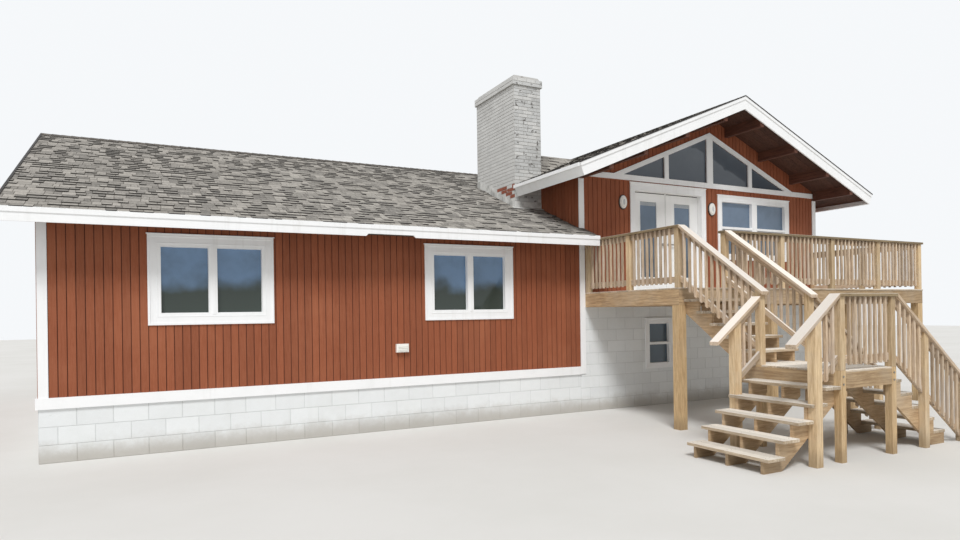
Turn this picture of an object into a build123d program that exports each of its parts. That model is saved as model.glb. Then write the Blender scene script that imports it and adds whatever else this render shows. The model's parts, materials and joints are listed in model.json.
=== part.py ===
from build123d import *
import math
import os

# Beach house: a long low wing on the left and a tall gabled part on the right, with a raised deck,
# a landing and three flights of steps. Millimetres, +Z up. The origin is the middle of the underside
# of the lower floor: x = 0 is the gable's middle, y = 0 lies under the wing's ridge, z = 0 is the
# lowest ground that the walls and posts reach. The front faces -Y.

# Overall plan and roof
depth = 8600.0
tall_width = 6460.0
wing_length = 8174.0
slope_ratio = 5.0 / 12.0
tall_ridge_z = 5840.0
wing_ridge_z = 5100.0
tall_roof_thick = 130.0
wing_roof_thick = 150.0
tall_eave_overhang = 600.0
tall_rake_overhang = 895.0
wing_eave_overhang = 470.0
wing_rake_overhang = 340.0
wing_eave_lap = 90.0

# Walls and floors
frame_wall = 140.0
block_wall = 203.0
block_top_z = 1886.0
lower_slab = 100.0
foundation_top_z = 680.0
wing_floor_thick = 200.0

# Steps: every flight has the same rise and number of risers
rise = 178.0
risers = 6
tread_thick = 38.0
tread_nosing = 25.0
upper_run = 250.0
left_run = 240.0
right_run = 235.0
stringer_thick = 38.0
stringer_throat = 180.0
stringer_lap = 60.0
stringer_inset = 95.0

# Deck, landing and railings
board_thick = 26.0
board_overhang = 15.0
joist_thick = 38.0
deck_joist_deep = 235.0
landing_joist_deep = 184.0
deck_joist_bays = 15
landing_joist_bays = 3
deck_out = 2340.0
deck_side_clear = 5.0
deck_support_count = 4
support_size = 140.0
post_size = 89.0
post_inset = 50.0
stair_rail_span = 970.0
landing_rail_span = 1100.0
landing_behind_posts = 300.0
left_rail_height = 940.0
front_rail_height = 900.0
landing_rail_height = 895.0
cap_thick = 38.0
cap_width = 140.0
rail_deep = 89.0
rail_thick = 38.0
bottom_rail_gap = 80.0
baluster_size = 35.0
baluster_drop = 20.0
baluster_step = 103.0
front_rail_bays = 4
side_rail_bays = 2
left_cap_reach = 840.0
left_newel_reach = 455.0
right_newel_reach = 695.0
right_end_reach = 1530.0
newel_size = 110.0

# Doors
door_centre_x = -1090.0
door_opening = 1790.0
door_head_z = 4120.0
door_side_casing = 70.0
door_head_casing = 95.0
door_jamb = 30.0
door_stop = 15.0
door_sill = 25.0
leaf_thick = 44.0
leaf_stile = 205.0
leaf_top_rail = 165.0
leaf_bottom_rail = 260.0
leaf_gap = 6.0
leaf_meeting_gap = 9.0
leaf_to_stop = 6.0
glass_thick = 12.0
handle_height = 950.0
handle_reach = 45.0
rose_radius = 27.0
rose_thick = 8.0
neck_radius = 8.0
lever_length = 110.0
lever_height = 22.0
lever_thick = 12.0
hinge_radius = 6.5
hinge_clear = 0.5
hinge_knuckle = 32.0
hinge_plate = 3.0
hinge_plate_reach = 28.0
hinge_heights = (230.0, 960.0, 1690.0)

# Windows: outer sizes of the casings
casing_width = 115.0
casing_thick = 20.0
window_frame_deep = 90.0
window_frame_face = 45.0
window_mullion = 110.0
wing_window_width = 1615.0
wing_window_height = 1210.0
wing_window_bottom_z = 1692.0
wing_window_left_x = -9372.0
wing_window_right_x = -5428.0
pair_window_width = 2133.0
pair_window_height = 1312.0
pair_window_bottom_z = 2820.0
pair_window_x = 1274.0
pair_casing = 80.0
pair_mullion = 150.0
side_window_width = 1060.0
side_window_y = 2100.0
lower_window_width = 690.0
lower_window_height = 950.0
lower_window_bottom_z = 700.0
lower_window_x = -1386.0
lower_casing = 55.0
hole_cut_past = 1.0

# Gable: white band, sloping trims and four transom lights
band_bottom_z = 4250.0
band_top_z = 4350.0
transom_reach = 2210.0
transom_centre_mullion = 160.0
transom_side_mullion = 100.0
transom_side_x = 1150.0
transom_trim = 90.0
trim_thick = 30.0

# Roof timbers and trim boards
beam_width = 90.0
beam_deep = 184.0
beam_step = 970.0
beams_on_slope = 3
fascia_thick = 25.0
tall_fascia_deep = 240.0
wing_fascia_deep = 175.0
fascia_notch_x = -7340.0
fascia_notch_length = 770.0
fascia_notch_deep = 35.0
corner_board_width = 110.0
corner_board_thick = 20.0
water_table_deep = 141.0
water_table_drop = 7.0

# Chimney
chimney_width = 600.0
chimney_depth = 1550.0
chimney_front_y = -3080.0
chimney_top_z = 6380.0
chimney_cap_deep = 140.0
chimney_cap_out = 30.0
chimney_wash = 60.0
flue_size = 260.0
flue_up = 90.0
cricket_ridge_z = 5080.0

# Small fittings on the front wall
light_width = 190.0
light_height = 280.0
light_thick = 90.0
light_z = 3830.0
light_left_x = -2230.0
light_right_x = 40.0
box_width = 200.0
box_height = 132.0
box_thick = 60.0
box_x = -6640.0
box_z = 1268.0

# Places worked out from the sizes above
half_depth = depth / 2
half_tall = tall_width / 2
front_y = -half_depth
wall_in_y = front_y + frame_wall
tall_left_x = -half_tall
wing_left_x = tall_left_x - wing_length
roof_angle = math.atan(slope_ratio)
landing_top_z = risers * rise
deck_top_z = 2 * landing_top_z
tall_eave_x = half_tall + tall_eave_overhang
tall_gable_y = half_depth + tall_rake_overhang
wing_eave_y = half_depth + wing_eave_overhang
wing_rake_x = wing_left_x - wing_rake_overhang
wing_eave_right_x = tall_left_x + wing_eave_lap
deck_left_x = tall_left_x + corner_board_width + deck_side_clear
deck_right_x = -deck_left_x
deck_front_y = front_y - deck_out
rail_line_y = deck_front_y + post_inset
stair_left_x = deck_left_x + post_inset
stair_right_x = stair_left_x + stair_rail_span
treads = risers - 1
landing_back_rail_y = deck_front_y - treads * upper_run - post_size - cap_width / 2
landing_front_rail_y = landing_back_rail_y - landing_rail_span
landing_lines = ((landing_front_rail_y, 1), (landing_back_rail_y, -1))
landing_left_x = stair_left_x - post_size / 2
landing_right_x = stair_right_x + post_size / 2
landing_front_y = landing_front_rail_y - post_size / 2
landing_back_y = landing_back_rail_y + landing_behind_posts
door_left_x = door_centre_x - door_opening / 2
door_right_x = door_centre_x + door_opening / 2
chimney_left_x = tall_left_x - chimney_width
chimney_back_y = chimney_front_y + chimney_depth
wall_beam_x = half_tall - beam_width / 2
band_reach = half_tall - corner_board_width
rail_inward = baluster_size + rail_thick / 2 - post_size / 2
baluster_outward = (post_size - baluster_size) / 2


def tall_top(x):
    """Height of the tall roof's top surface at x."""
    return tall_ridge_z - abs(x) * slope_ratio


def wing_top(y):
    """Height of the wing roof's top surface at y."""
    return wing_ridge_z - abs(y) * slope_ratio


def square_foot(x, z, deep, inward):
    """Lower corner of an end cut square to the roof's slope, below the corner at (x, z)."""
    lean = math.cos(roof_angle)
    return x + inward * deep * lean * math.sin(roof_angle), z - deep * lean ** 2


def block(x0, x1, y0, y1, z0, z1):
    """A box between two corners."""
    return Pos((x0 + x1) / 2, (y0 + y1) / 2, (z0 + z1) / 2) * Box(x1 - x0, y1 - y0, z1 - z0)


def prism_y(points, y0, y1):
    """An outline of (x, z) points carried along Y."""
    plane = Plane(origin=(0, y0, 0), x_dir=(1, 0, 0), z_dir=(0, -1, 0))
    return extrude(plane * Polygon(*points, align=None), amount=y1 - y0, dir=(0, 1, 0))


def prism_x(points, x0, x1):
    """An outline of (y, z) points carried along X."""
    plane = Plane(origin=(x0, 0, 0), x_dir=(0, 1, 0), z_dir=(1, 0, 0))
    return extrude(plane * Polygon(*points, align=None), amount=x1 - x0, dir=(1, 0, 0))


def write(name, *solids):
    """Write one node as a STEP file."""
    pieces = [solid for shape in solids for solid in shape.solids()]
    export_step(Compound(children=pieces) if len(pieces) > 1 else pieces[0], f"parts/{name}.step")


def fused(pieces):
    """One shape from pieces that meet or overlap."""
    return pieces[0].fuse(*pieces[1:]) if len(pieces) > 1 else pieces[0]


# Windows are drawn facing -Y with the middle of their lower edge at the origin, and then placed


def window(width, height, casing, mullions_x=(), rails_z=()):
    """A cased frame with upright mullions and cross rails, and its panes of glass."""
    in_w = width - 2 * casing
    in_h = height - 2 * casing
    frame = block(-width / 2, width / 2, -casing_thick, 0, 0, height)
    frame += block(-in_w / 2, in_w / 2, 0, window_frame_deep, casing, casing + in_h)
    face = window_frame_face
    x_edges = [-in_w / 2 + face]
    for x, thick in mullions_x:
        x_edges += [x - thick / 2, x + thick / 2]
    x_edges.append(in_w / 2 - face)
    z_edges = [casing + face]
    for z, thick in rails_z:
        z_edges += [z - thick / 2, z + thick / 2]
    z_edges.append(casing + in_h - face)
    panes = []
    glass_y = window_frame_deep / 2
    for x0, x1 in zip(x_edges[::2], x_edges[1::2]):
        for z0, z1 in zip(z_edges[::2], z_edges[1::2]):
            frame -= block(x0, x1, -casing_thick, window_frame_deep, z0, z1)
            panes.append(block(x0, x1, glass_y, glass_y + glass_thick, z0, z1))
    return frame, panes


def window_hole(width, height, casing):
    """The opening that a window fills in its wall."""
    half = width / 2 - casing
    return block(-half, half, -hole_cut_past, block_wall + hole_cut_past, casing, height - casing)


front_turn, back_turn, left_turn, right_turn = 0, 180, -90, 90


def place(turn, along, z):
    """Where a window of the front, back, left or right wall goes, by its outer face."""
    if turn == front_turn:
        return Pos(along, front_y, z)
    if turn == back_turn:
        return Pos(along, half_depth, z) * Rot(0, 0, 180)
    if turn == left_turn:
        return Pos(wing_left_x, along, z) * Rot(0, 0, -90)
    return Pos(half_tall, along, z) * Rot(0, 0, 90)


def slider():
    """The wing's window: one frame with two panes side by side."""
    return window(wing_window_width, wing_window_height, casing_width, [(0, window_mullion)])


def double_hung(width, height, casing, count):
    """Double-hung windows side by side in one casing."""
    pane_step = (width - 2 * casing) / count
    uprights = [((i - count / 2) * pane_step, pair_mullion) for i in range(1, count)]
    return window(width, height, casing, uprights, [(height / 2, window_frame_face)])


wing_window_places = [
    place(front_turn, wing_window_left_x, wing_window_bottom_z),
    place(front_turn, wing_window_right_x, wing_window_bottom_z),
    place(back_turn, wing_window_left_x, wing_window_bottom_z),
    place(back_turn, wing_window_right_x, wing_window_bottom_z),
    place(left_turn, 0, wing_window_bottom_z),
]
pair_window_places = [
    place(front_turn, pair_window_x, pair_window_bottom_z),
    place(back_turn, 0, pair_window_bottom_z),
]
side_window_places = [
    place(right_turn, -side_window_y, pair_window_bottom_z),
    place(right_turn, side_window_y, pair_window_bottom_z),
]
lower_window_places = [
    place(front_turn, lower_window_x, lower_window_bottom_z),
    place(right_turn, 0, lower_window_bottom_z),
]


def holed(wall, places, width, height, casing):
    """A wall with its window openings cut."""
    hole = window_hole(width, height, casing)
    for where in places:
        wall -= where * hole
    return wall


def wing_holed(wall):
    """A wing wall with its slider openings cut."""
    return holed(wall, wing_window_places, wing_window_width, wing_window_height, casing_width)


def upper_holed(wall):
    """An upper wall of the tall part with its window openings cut."""
    wall = holed(wall, pair_window_places, pair_window_width, pair_window_height, pair_casing)
    return holed(wall, side_window_places, side_window_width, pair_window_height, pair_casing)


# Solids that others are cut with
chimney_shaft = block(chimney_left_x, tall_left_x, chimney_front_y, chimney_back_y, 0, chimney_top_z)
wing_attic = prism_x(
    [(-wing_eave_y, 0), (-wing_eave_y, wing_top(wing_eave_y)), (0, wing_ridge_z),
     (wing_eave_y, wing_top(wing_eave_y)), (wing_eave_y, 0)],
    wing_left_x, tall_left_x)
under_tall_roof = prism_y(
    [(-tall_eave_x, tall_top(tall_eave_x)), (0, tall_ridge_z), (0, 0), (-tall_eave_x, 0)],
    -tall_gable_y, tall_gable_y)


# The wing


def make_wing():
    """Foundation, floor, walls and roof of the low wing."""
    inner_left = wing_left_x + block_wall
    base = block(wing_left_x, tall_left_x, front_y, half_depth, 0, foundation_top_z)
    base -= block(inner_left, tall_left_x, front_y + block_wall, half_depth - block_wall, 0, foundation_top_z)
    write("wing_foundation", base)
    floor_top = foundation_top_z + wing_floor_thick
    floor = block(wing_left_x + frame_wall, tall_left_x, wall_in_y, -wall_in_y, foundation_top_z, floor_top)
    write("wing_floor", floor - chimney_shaft)

    under_out = wing_top(half_depth) - wing_roof_thick
    under_in = wing_top(wall_in_y) - wing_roof_thick
    outline = [(front_y, foundation_top_z), (wall_in_y, foundation_top_z),
               (wall_in_y, under_in), (front_y, under_out)]
    front = prism_x(outline, wing_left_x + frame_wall, tall_left_x)
    write("wing_front_wall", wing_holed(front))
    back = prism_x([(-y, z) for y, z in outline], wing_left_x + frame_wall, tall_left_x)
    write("wing_back_wall", wing_holed(back))
    gable = [(front_y, foundation_top_z), (half_depth, foundation_top_z), (half_depth, under_out),
             (0, wing_ridge_z - wing_roof_thick), (front_y, under_out)]
    write("wing_end_wall", wing_holed(prism_x(gable, wing_left_x, wing_left_x + frame_wall)))

    eave_z = wing_top(wing_eave_y)
    slope = [(-wing_eave_y, eave_z), (0, wing_ridge_z), (0, wing_ridge_z - wing_roof_thick),
             (-wing_eave_y, eave_z - wing_roof_thick)]
    over_wall = block(tall_left_x, wing_eave_right_x, front_y, half_depth, 0, wing_ridge_z)
    front_slope = prism_x(slope, wing_rake_x, wing_eave_right_x) - over_wall - chimney_shaft
    write("wing_roof_front", front_slope)
    back_slope = prism_x([(-y, z) for y, z in slope], wing_rake_x, wing_eave_right_x) - over_wall
    write("wing_roof_back", back_slope)
    return front_slope, back_slope


def make_wing_trim():
    """Fascias with the worn notch, and the rake boards of the wing's end."""
    out_y = wing_eave_y + fascia_thick
    top = wing_top(wing_eave_y)
    bottom = top - wing_fascia_deep
    front = block(wing_rake_x, wing_eave_right_x, -out_y, -wing_eave_y, bottom, top)
    x0, x1 = fascia_notch_x, fascia_notch_x + fascia_notch_length
    ramp = fascia_notch_deep
    notch = prism_y([(x0, bottom), (x0 + ramp, bottom + ramp), (x1 - ramp, bottom + ramp), (x1, bottom)],
                    -out_y, -wing_eave_y)
    back = block(wing_rake_x, wing_eave_right_x, wing_eave_y, out_y, bottom, top)
    fascias = [front - notch, back]
    low = wing_top(out_y)
    rake = [(-out_y, low - wing_fascia_deep), (-out_y, low), (0, wing_ridge_z), (out_y, low),
            (out_y, low - wing_fascia_deep), (0, wing_ridge_z - wing_fascia_deep)]
    return fascias, [prism_x(rake, wing_rake_x - fascia_thick, wing_rake_x)]


def make_wing_windows():
    """The sliders of the wing."""
    frame, panes = slider()
    write("wing_window_frames", *[where * frame for where in wing_window_places])
    write("wing_window_glass", *[where * pane for where in wing_window_places for pane in panes])


# The tall part


def make_lower_storey():
    """Block walls, the slab and the main floor on the walls' inner ledge."""
    walls = block(-half_tall, half_tall, front_y, half_depth, 0, block_top_z)
    in_x = half_tall - block_wall
    in_y = half_depth - block_wall
    walls -= block(-in_x, in_x, -in_y, in_y, 0, block_top_z)
    walls = holed(walls, lower_window_places, lower_window_width, lower_window_height, lower_casing)
    write("block_walls", walls)
    write("lower_floor", block(-in_x, in_x, -in_y, in_y, 0, lower_slab))
    floor_x = half_tall - frame_wall
    floor = block(-floor_x, floor_x, wall_in_y, -wall_in_y, block_top_z, deck_top_z)
    doorway_rim = block(door_left_x, door_right_x, front_y, wall_in_y, block_top_z, deck_top_z)
    write("main_floor", floor + doorway_rim)


def transom_outlines():
    """Outlines of the four lights: two triangles outside and two trapezoids inside."""
    def top(x):
        return band_top_z + (transom_reach - x) * slope_ratio
    outer_x = transom_side_x + transom_side_mullion / 2
    inner_x = transom_side_x - transom_side_mullion / 2
    centre_x = transom_centre_mullion / 2
    triangle = [(transom_reach, band_top_z), (outer_x, top(outer_x)), (outer_x, band_top_z)]
    trapezoid = [(inner_x, band_top_z), (inner_x, top(inner_x)), (centre_x, top(centre_x)), (centre_x, band_top_z)]
    shapes = []
    for outline in (triangle, trapezoid):
        shapes.append(outline)
        shapes.append([(-x, z) for x, z in outline])
    return shapes


def make_upper_walls():
    """Framed walls of the upper storey, split beside and over the doorway."""
    left = block(-half_tall, door_left_x, front_y, wall_in_y, block_top_z, door_head_z)
    write("front_wall_left", left)
    right = block(door_right_x, half_tall, front_y, wall_in_y, block_top_z, door_head_z)
    write("front_wall_right", upper_holed(right))
    under = tall_top(half_tall) - tall_roof_thick
    under_in = tall_top(half_tall - frame_wall) - tall_roof_thick
    peak = tall_ridge_z - tall_roof_thick
    gable = prism_y([(-half_tall, door_head_z), (half_tall, door_head_z), (half_tall, under),
                     (0, peak), (-half_tall, under)], front_y, wall_in_y)
    for outline in transom_outlines():
        gable -= prism_y(outline, front_y, wall_in_y)
    write("front_gable_wall", gable)
    side = [(-half_tall, block_top_z), (frame_wall - half_tall, block_top_z),
            (frame_wall - half_tall, under_in), (-half_tall, under)]
    write("upper_left_wall", prism_y(side, wall_in_y, -wall_in_y))
    write("upper_right_wall", upper_holed(prism_y([(-x, z) for x, z in side], wall_in_y, -wall_in_y)))
    back = prism_y([(-half_tall, block_top_z), (half_tall, block_top_z), (half_tall, under),
                    (0, peak), (-half_tall, under)], -wall_in_y, half_depth)
    write("upper_back_wall", upper_holed(back))


def make_gable_trim():
    """The white band, the sloping trims and the mullions, with the glass behind."""
    face = block(-band_reach, band_reach, front_y - trim_thick, front_y, band_bottom_z, band_top_z)
    trim_up = transom_trim / math.cos(roof_angle)
    apex = band_top_z + transom_reach * slope_ratio + trim_up
    reach = transom_reach + trim_up / slope_ratio
    face += prism_y([(-reach, band_top_z), (reach, band_top_z), (0, apex)], front_y - trim_thick, front_y)
    for outline in transom_outlines():
        face -= prism_y(outline, front_y - trim_thick, front_y)
    write("gable_trim", face)
    glass_y = front_y + frame_wall / 2
    write("transom_glass", *[prism_y(o, glass_y, glass_y + glass_thick) for o in transom_outlines()])


def make_tall_windows():
    """The double-hung windows of both storeys."""
    pair, pair_panes = double_hung(pair_window_width, pair_window_height, pair_casing, 2)
    side, side_panes = double_hung(side_window_width, pair_window_height, pair_casing, 1)
    lower, lower_panes = double_hung(lower_window_width, lower_window_height, lower_casing, 1)
    frames = [where * pair for where in pair_window_places]
    frames += [where * side for where in side_window_places]
    frames += [where * lower for where in lower_window_places]
    panes = [where * pane for where in pair_window_places for pane in pair_panes]
    panes += [where * pane for where in side_window_places for pane in side_panes]
    panes += [where * pane for where in lower_window_places for pane in lower_panes]
    write("tall_window_frames", *frames)
    write("tall_window_glass", *panes)


def make_tall_roof():
    """Two roof slopes, the cricket behind the chimney and the saddle over the wing's ridge."""
    edge = tall_top(tall_eave_x)
    slope = [(-tall_eave_x, edge), (0, tall_ridge_z), (0, tall_ridge_z - tall_roof_thick),
             square_foot(-tall_eave_x, edge, tall_roof_thick, 1)]
    left = prism_y(slope, -tall_gable_y, tall_gable_y)
    notch = block(-tall_eave_x, tall_left_x, chimney_front_y, chimney_back_y, 0, tall_ridge_z)
    left = left - notch - wing_attic
    write("main_roof_left", left)
    write("main_roof_right", prism_y([(-x, z) for x, z in slope], -tall_gable_y, tall_gable_y))
    base = tall_top(tall_left_x)
    half = (wing_ridge_z - base) / slope_ratio
    saddle = prism_x([(-half, base), (0, wing_ridge_z), (half, base)], tall_left_x, 0) - under_tall_roof
    middle = (chimney_front_y + chimney_back_y) / 2
    cricket = prism_x([(chimney_front_y, base), (middle, cricket_ridge_z), (chimney_back_y, base)],
                      tall_left_x, 0) - under_tall_roof - saddle
    write("roof_saddle", saddle)
    write("chimney_cricket", cricket)


def make_tall_trim():
    """Rake boards front and back, and the eave fascias, all with ends square to the slope."""
    out_x = tall_eave_x + fascia_thick * math.cos(roof_angle)
    low = tall_top(out_x)
    deep = tall_fascia_deep
    rake = [square_foot(-out_x, low, deep, 1), (-out_x, low), (0, tall_ridge_z), (out_x, low),
            square_foot(out_x, low, deep, -1), (0, tall_ridge_z - deep)]
    front = prism_y(rake, -tall_gable_y - fascia_thick, -tall_gable_y)
    back = prism_y(rake, tall_gable_y, tall_gable_y + fascia_thick)
    rakes = [front, back]
    top = tall_top(tall_eave_x)

    def fascia(side, y0, y1):
        eave, out = side * tall_eave_x, side * out_x
        return prism_y([(eave, top), (out, low), square_foot(out, low, deep, -side),
                        square_foot(eave, top, deep, -side)], y0, y1)

    left_front = fascia(-1, -tall_gable_y, chimney_front_y)
    left_back = fascia(-1, chimney_back_y, tall_gable_y) - wing_attic
    return [left_front, left_back, fascia(1, -tall_gable_y, tall_gable_y)], rakes


def make_roof_beams():
    """Outrigger beams under both gable overhangs, the outermost on the side walls."""
    outlines = []
    for middle in [beam_step * (i + 1 / 2) for i in range(beams_on_slope)] + [wall_beam_x]:
        inner, outer = middle - beam_width / 2, middle + beam_width / 2
        bottom = tall_top(middle) - tall_roof_thick - beam_deep
        for side in (-1, 1):
            outlines.append([(side * inner, tall_top(inner) - tall_roof_thick),
                             (side * outer, tall_top(outer) - tall_roof_thick),
                             (side * outer, bottom), (side * inner, bottom)])
    beams = []
    for outline in outlines:
        beams.append(prism_y(outline, -tall_gable_y, front_y))
        beams.append(prism_y(outline, half_depth, tall_gable_y))
    write("roof_beams", *beams)


def make_chimney():
    """One masonry mass: shaft, projecting cap course, sloped wash and two flues."""
    x0, x1, y0, y1 = chimney_left_x, tall_left_x, chimney_front_y, chimney_back_y
    cap_bottom = chimney_top_z - chimney_wash - chimney_cap_deep
    shaft = block(x0, x1, y0, y1, 0, cap_bottom)
    out = chimney_cap_out
    cap = block(x0 - out, x1 + out, y0 - out, y1 + out, cap_bottom, cap_bottom + chimney_cap_deep)
    middle = Pos((x0 + x1) / 2, (y0 + y1) / 2, cap_bottom + chimney_cap_deep)
    wide = Rectangle(chimney_width, chimney_depth)
    narrow = Pos(0, 0, chimney_wash) * Rectangle(chimney_width - 2 * out, chimney_depth - 2 * out)
    wash = middle * loft([wide, narrow])
    flues = []
    for side in (-1, 1):
        flue = Box(flue_size, flue_size, chimney_wash + flue_up, align=(Align.CENTER, Align.CENTER, Align.MIN))
        flues.append(middle * Pos(0, side * chimney_depth / 4, 0) * flue)
    write("chimney", fused([shaft, cap, wash] + flues))


def make_boards(roofs):
    """Corner boards and the water table along the wing's foot."""
    t, w = corner_board_thick, corner_board_width
    bottom = foundation_top_z
    wing_high = wing_top(half_depth) - wing_roof_thick
    tall_high = tall_top(wall_beam_x) - tall_roof_thick - beam_deep
    boards = []
    for side in (-1, 1):
        y0, y1 = sorted((side * half_depth, side * (half_depth + t)))
        boards.append(block(wing_left_x, wing_left_x + w, y0, y1, bottom, wing_high - t))
        boards.append(block(half_tall - w, half_tall, y0, y1, block_top_z, tall_high))
        junction = block(tall_left_x, tall_left_x + w, y0, y1, bottom, tall_high)
        for roof in roofs:
            junction -= roof
        boards.append(junction)
    write("corner_boards", *boards)
    low = foundation_top_z - water_table_drop
    high = low + water_table_deep
    step = corner_board_thick + corner_board_thick / 2
    outer = block(wing_left_x - step, tall_left_x, -half_depth - step, half_depth + step, low, high)
    outer -= block(wing_left_x, tall_left_x, front_y, half_depth, low, high)
    corners = Compound(children=[solid for shape in boards for solid in shape.solids()])
    write("water_table", outer - corners)


def make_fittings():
    """Oval wall lights and the small box on the wing's wall."""
    light = extrude(Plane.XZ * Ellipse(light_width / 2, light_height / 2), amount=light_thick)
    lights = [Pos(x, front_y, light_z) * light for x in (light_left_x, light_right_x)]
    write("wall_lights", *lights)
    half_w, half_h = box_width / 2, box_height / 2
    write("utility_box", block(box_x - half_w, box_x + half_w, front_y - box_thick, front_y,
                               box_z - half_h, box_z + half_h))


# The French doors, which open inwards


def make_doors():
    """Frame with casing, stops and sill, and two glazed leaves with handles."""
    x0, x1 = door_left_x, door_right_x
    frame = block(x0 - door_side_casing, x1 + door_side_casing, front_y - casing_thick, front_y,
                  deck_top_z, door_head_z + door_head_casing)
    frame += block(x0, x1, front_y, wall_in_y, deck_top_z, door_head_z)
    in_x0, in_x1 = x0 + door_jamb, x1 - door_jamb
    in_top = door_head_z - door_jamb
    sill_top = deck_top_z + door_sill
    stop_y = wall_in_y - leaf_thick - leaf_to_stop
    frame -= block(in_x0, in_x1, stop_y, wall_in_y, sill_top, in_top)
    frame -= block(in_x0 + door_stop, in_x1 - door_stop, front_y - casing_thick, stop_y,
                   sill_top, in_top - door_stop)
    write("door_frame", frame)
    leaf_bottom = sill_top + leaf_gap
    leaf_top = in_top - leaf_gap
    leaf_in_y = wall_in_y
    leaf_out_y = wall_in_y - leaf_thick
    middle = (leaf_out_y + leaf_in_y) / 2
    leaf_spans = {"left": (in_x0 + leaf_gap, door_centre_x - leaf_meeting_gap / 2),
                  "right": (door_centre_x + leaf_meeting_gap / 2, in_x1 - leaf_gap)}
    fixed_knuckles = []
    for side, (a, b) in leaf_spans.items():
        glass_box = (a + leaf_stile, b - leaf_stile, leaf_bottom + leaf_bottom_rail, leaf_top - leaf_top_rail)
        g0, g1, gz0, gz1 = glass_box
        leaf = block(a, b, leaf_out_y, leaf_in_y, leaf_bottom, leaf_top)
        leaf -= block(g0, g1, leaf_out_y, leaf_in_y, gz0, gz1)
        write(f"door_{side}", leaf)
        write(f"door_{side}_glass", block(g0, g1, middle - glass_thick / 2, middle + glass_thick / 2, gz0, gz1))
        spindle_x = b - leaf_stile / 3 if side == "left" else a + leaf_stile / 3
        hinge_x = in_x0 + leaf_gap / 2 if side == "left" else in_x1 - leaf_gap / 2
        fixed, moving = door_hinges(hinge_x, 1 if side == "left" else -1)
        fixed_knuckles += fixed
        write(f"door_{side}_hardware", *door_handles(spindle_x, leaf_out_y, leaf_in_y, side), *moving)
    write("door_hinges", *fixed_knuckles)


def door_hinges(x, towards_leaf):
    """Three-knuckle hinges at the room face: outer knuckles on the frame, middle ones on the leaf."""
    y = wall_in_y + hinge_radius + hinge_clear
    fixed, moving = [], []
    for height in hinge_heights:
        for level in (-1, 0, 1):
            z = deck_top_z + height + level * (hinge_knuckle + hinge_clear)
            knuckle = Pos(x, y, z) * Cylinder(hinge_radius, hinge_knuckle)
            way = towards_leaf if level == 0 else -towards_leaf
            x0, x1 = sorted((x, x + way * hinge_plate_reach))
            plate = block(x0, x1, wall_in_y, wall_in_y + hinge_plate, z - hinge_knuckle / 2, z + hinge_knuckle / 2)
            (moving if level == 0 else fixed).append(knuckle + plate)
    return fixed, moving


def door_handles(x, out_y, in_y, side):
    """A lever on a round rose, on both faces of one leaf."""
    z = deck_top_z + handle_height
    towards = -1 if side == "left" else 1
    handles = []
    for face_y, way in ((out_y, -1), (in_y, 1)):
        rose = Pos(x, face_y + way * rose_thick / 2, z) * Rot(90, 0, 0) * Cylinder(rose_radius, rose_thick)
        tip_y = face_y + way * handle_reach
        back_y = tip_y - way * lever_thick
        neck_mid = (face_y + back_y) / 2
        neck = Pos(x, neck_mid, z) * Rot(90, 0, 0) * Cylinder(neck_radius, abs(back_y - face_y))
        x0, x1 = sorted((x - towards * lever_height / 2, x + towards * lever_length))
        y0, y1 = sorted((back_y, tip_y))
        lever = block(x0, x1, y0, y1, z - lever_height / 2, z + lever_height / 2)
        handles.append(rose + neck + lever)
    return handles


# Deck, landing and steps


def platform(x0, x1, y0, y1, top_z, joist_deep, bays):
    """A rim with joists between equal bays, below the boards."""
    under = top_z - board_thick
    low = under - joist_deep
    rim = block(x0, x1, y0, y1, low, under)
    inner_x0, inner_x1 = x0 + joist_thick, x1 - joist_thick
    rim -= block(inner_x0, inner_x1, y0 + joist_thick, y1 - joist_thick, low, under)
    step = (x1 - x0) / bays
    for i in range(1, bays):
        x = x0 + i * step
        rim += block(x - joist_thick / 2, x + joist_thick / 2, y0, y1, low, under)
    return rim


def balusters(start, end, low, high, place_bar):
    """Square bars between two posts, evenly spaced at about the driving step."""
    count = max(0, round((end - start) / baluster_step) - 1)
    step = (end - start) / (count + 1)
    return [place_bar(start + (i + 1) * step, low, high) for i in range(count)]


def level_rail(along_x, fixed, outward, start, end, bays, floor_z, height, cap_start=0.0, cap_end=0.0):
    """A straight railing panel: posts at every bay, cap, two rails, and bars on their outer face."""
    cap_z = floor_z + height - cap_thick
    rail_middle = fixed - outward * rail_inward
    bar_middle = fixed + outward * baluster_outward

    def bar(a0, a1, middle, thick, z0, z1):
        b0, b1 = middle - thick / 2, middle + thick / 2
        return block(a0, a1, b0, b1, z0, z1) if along_x else block(b0, b1, a0, a1, z0, z1)

    pieces = []
    step = (end - start) / bays
    half_post, half_bar = post_size / 2, baluster_size / 2
    for i in range(bays + 1):
        middle = start + i * step
        pieces.append(bar(middle - half_post, middle + half_post, fixed, post_size, floor_z, cap_z))
    low = floor_z + bottom_rail_gap
    pieces.append(bar(start, end, rail_middle, rail_thick, low, low + rail_deep))
    pieces.append(bar(start, end, rail_middle, rail_thick, cap_z - rail_deep, cap_z))
    pieces.append(bar(start - cap_start, end + cap_end, fixed, cap_width, cap_z, cap_z + cap_thick))
    for i in range(bays):
        a, b = start + i * step + half_post, start + (i + 1) * step - half_post
        pieces += balusters(a, b, low - baluster_drop, cap_z,
                            lambda m, z0, z1: bar(m - half_bar, m + half_bar, bar_middle, baluster_size, z0, z1))
    return fused(pieces)


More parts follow.
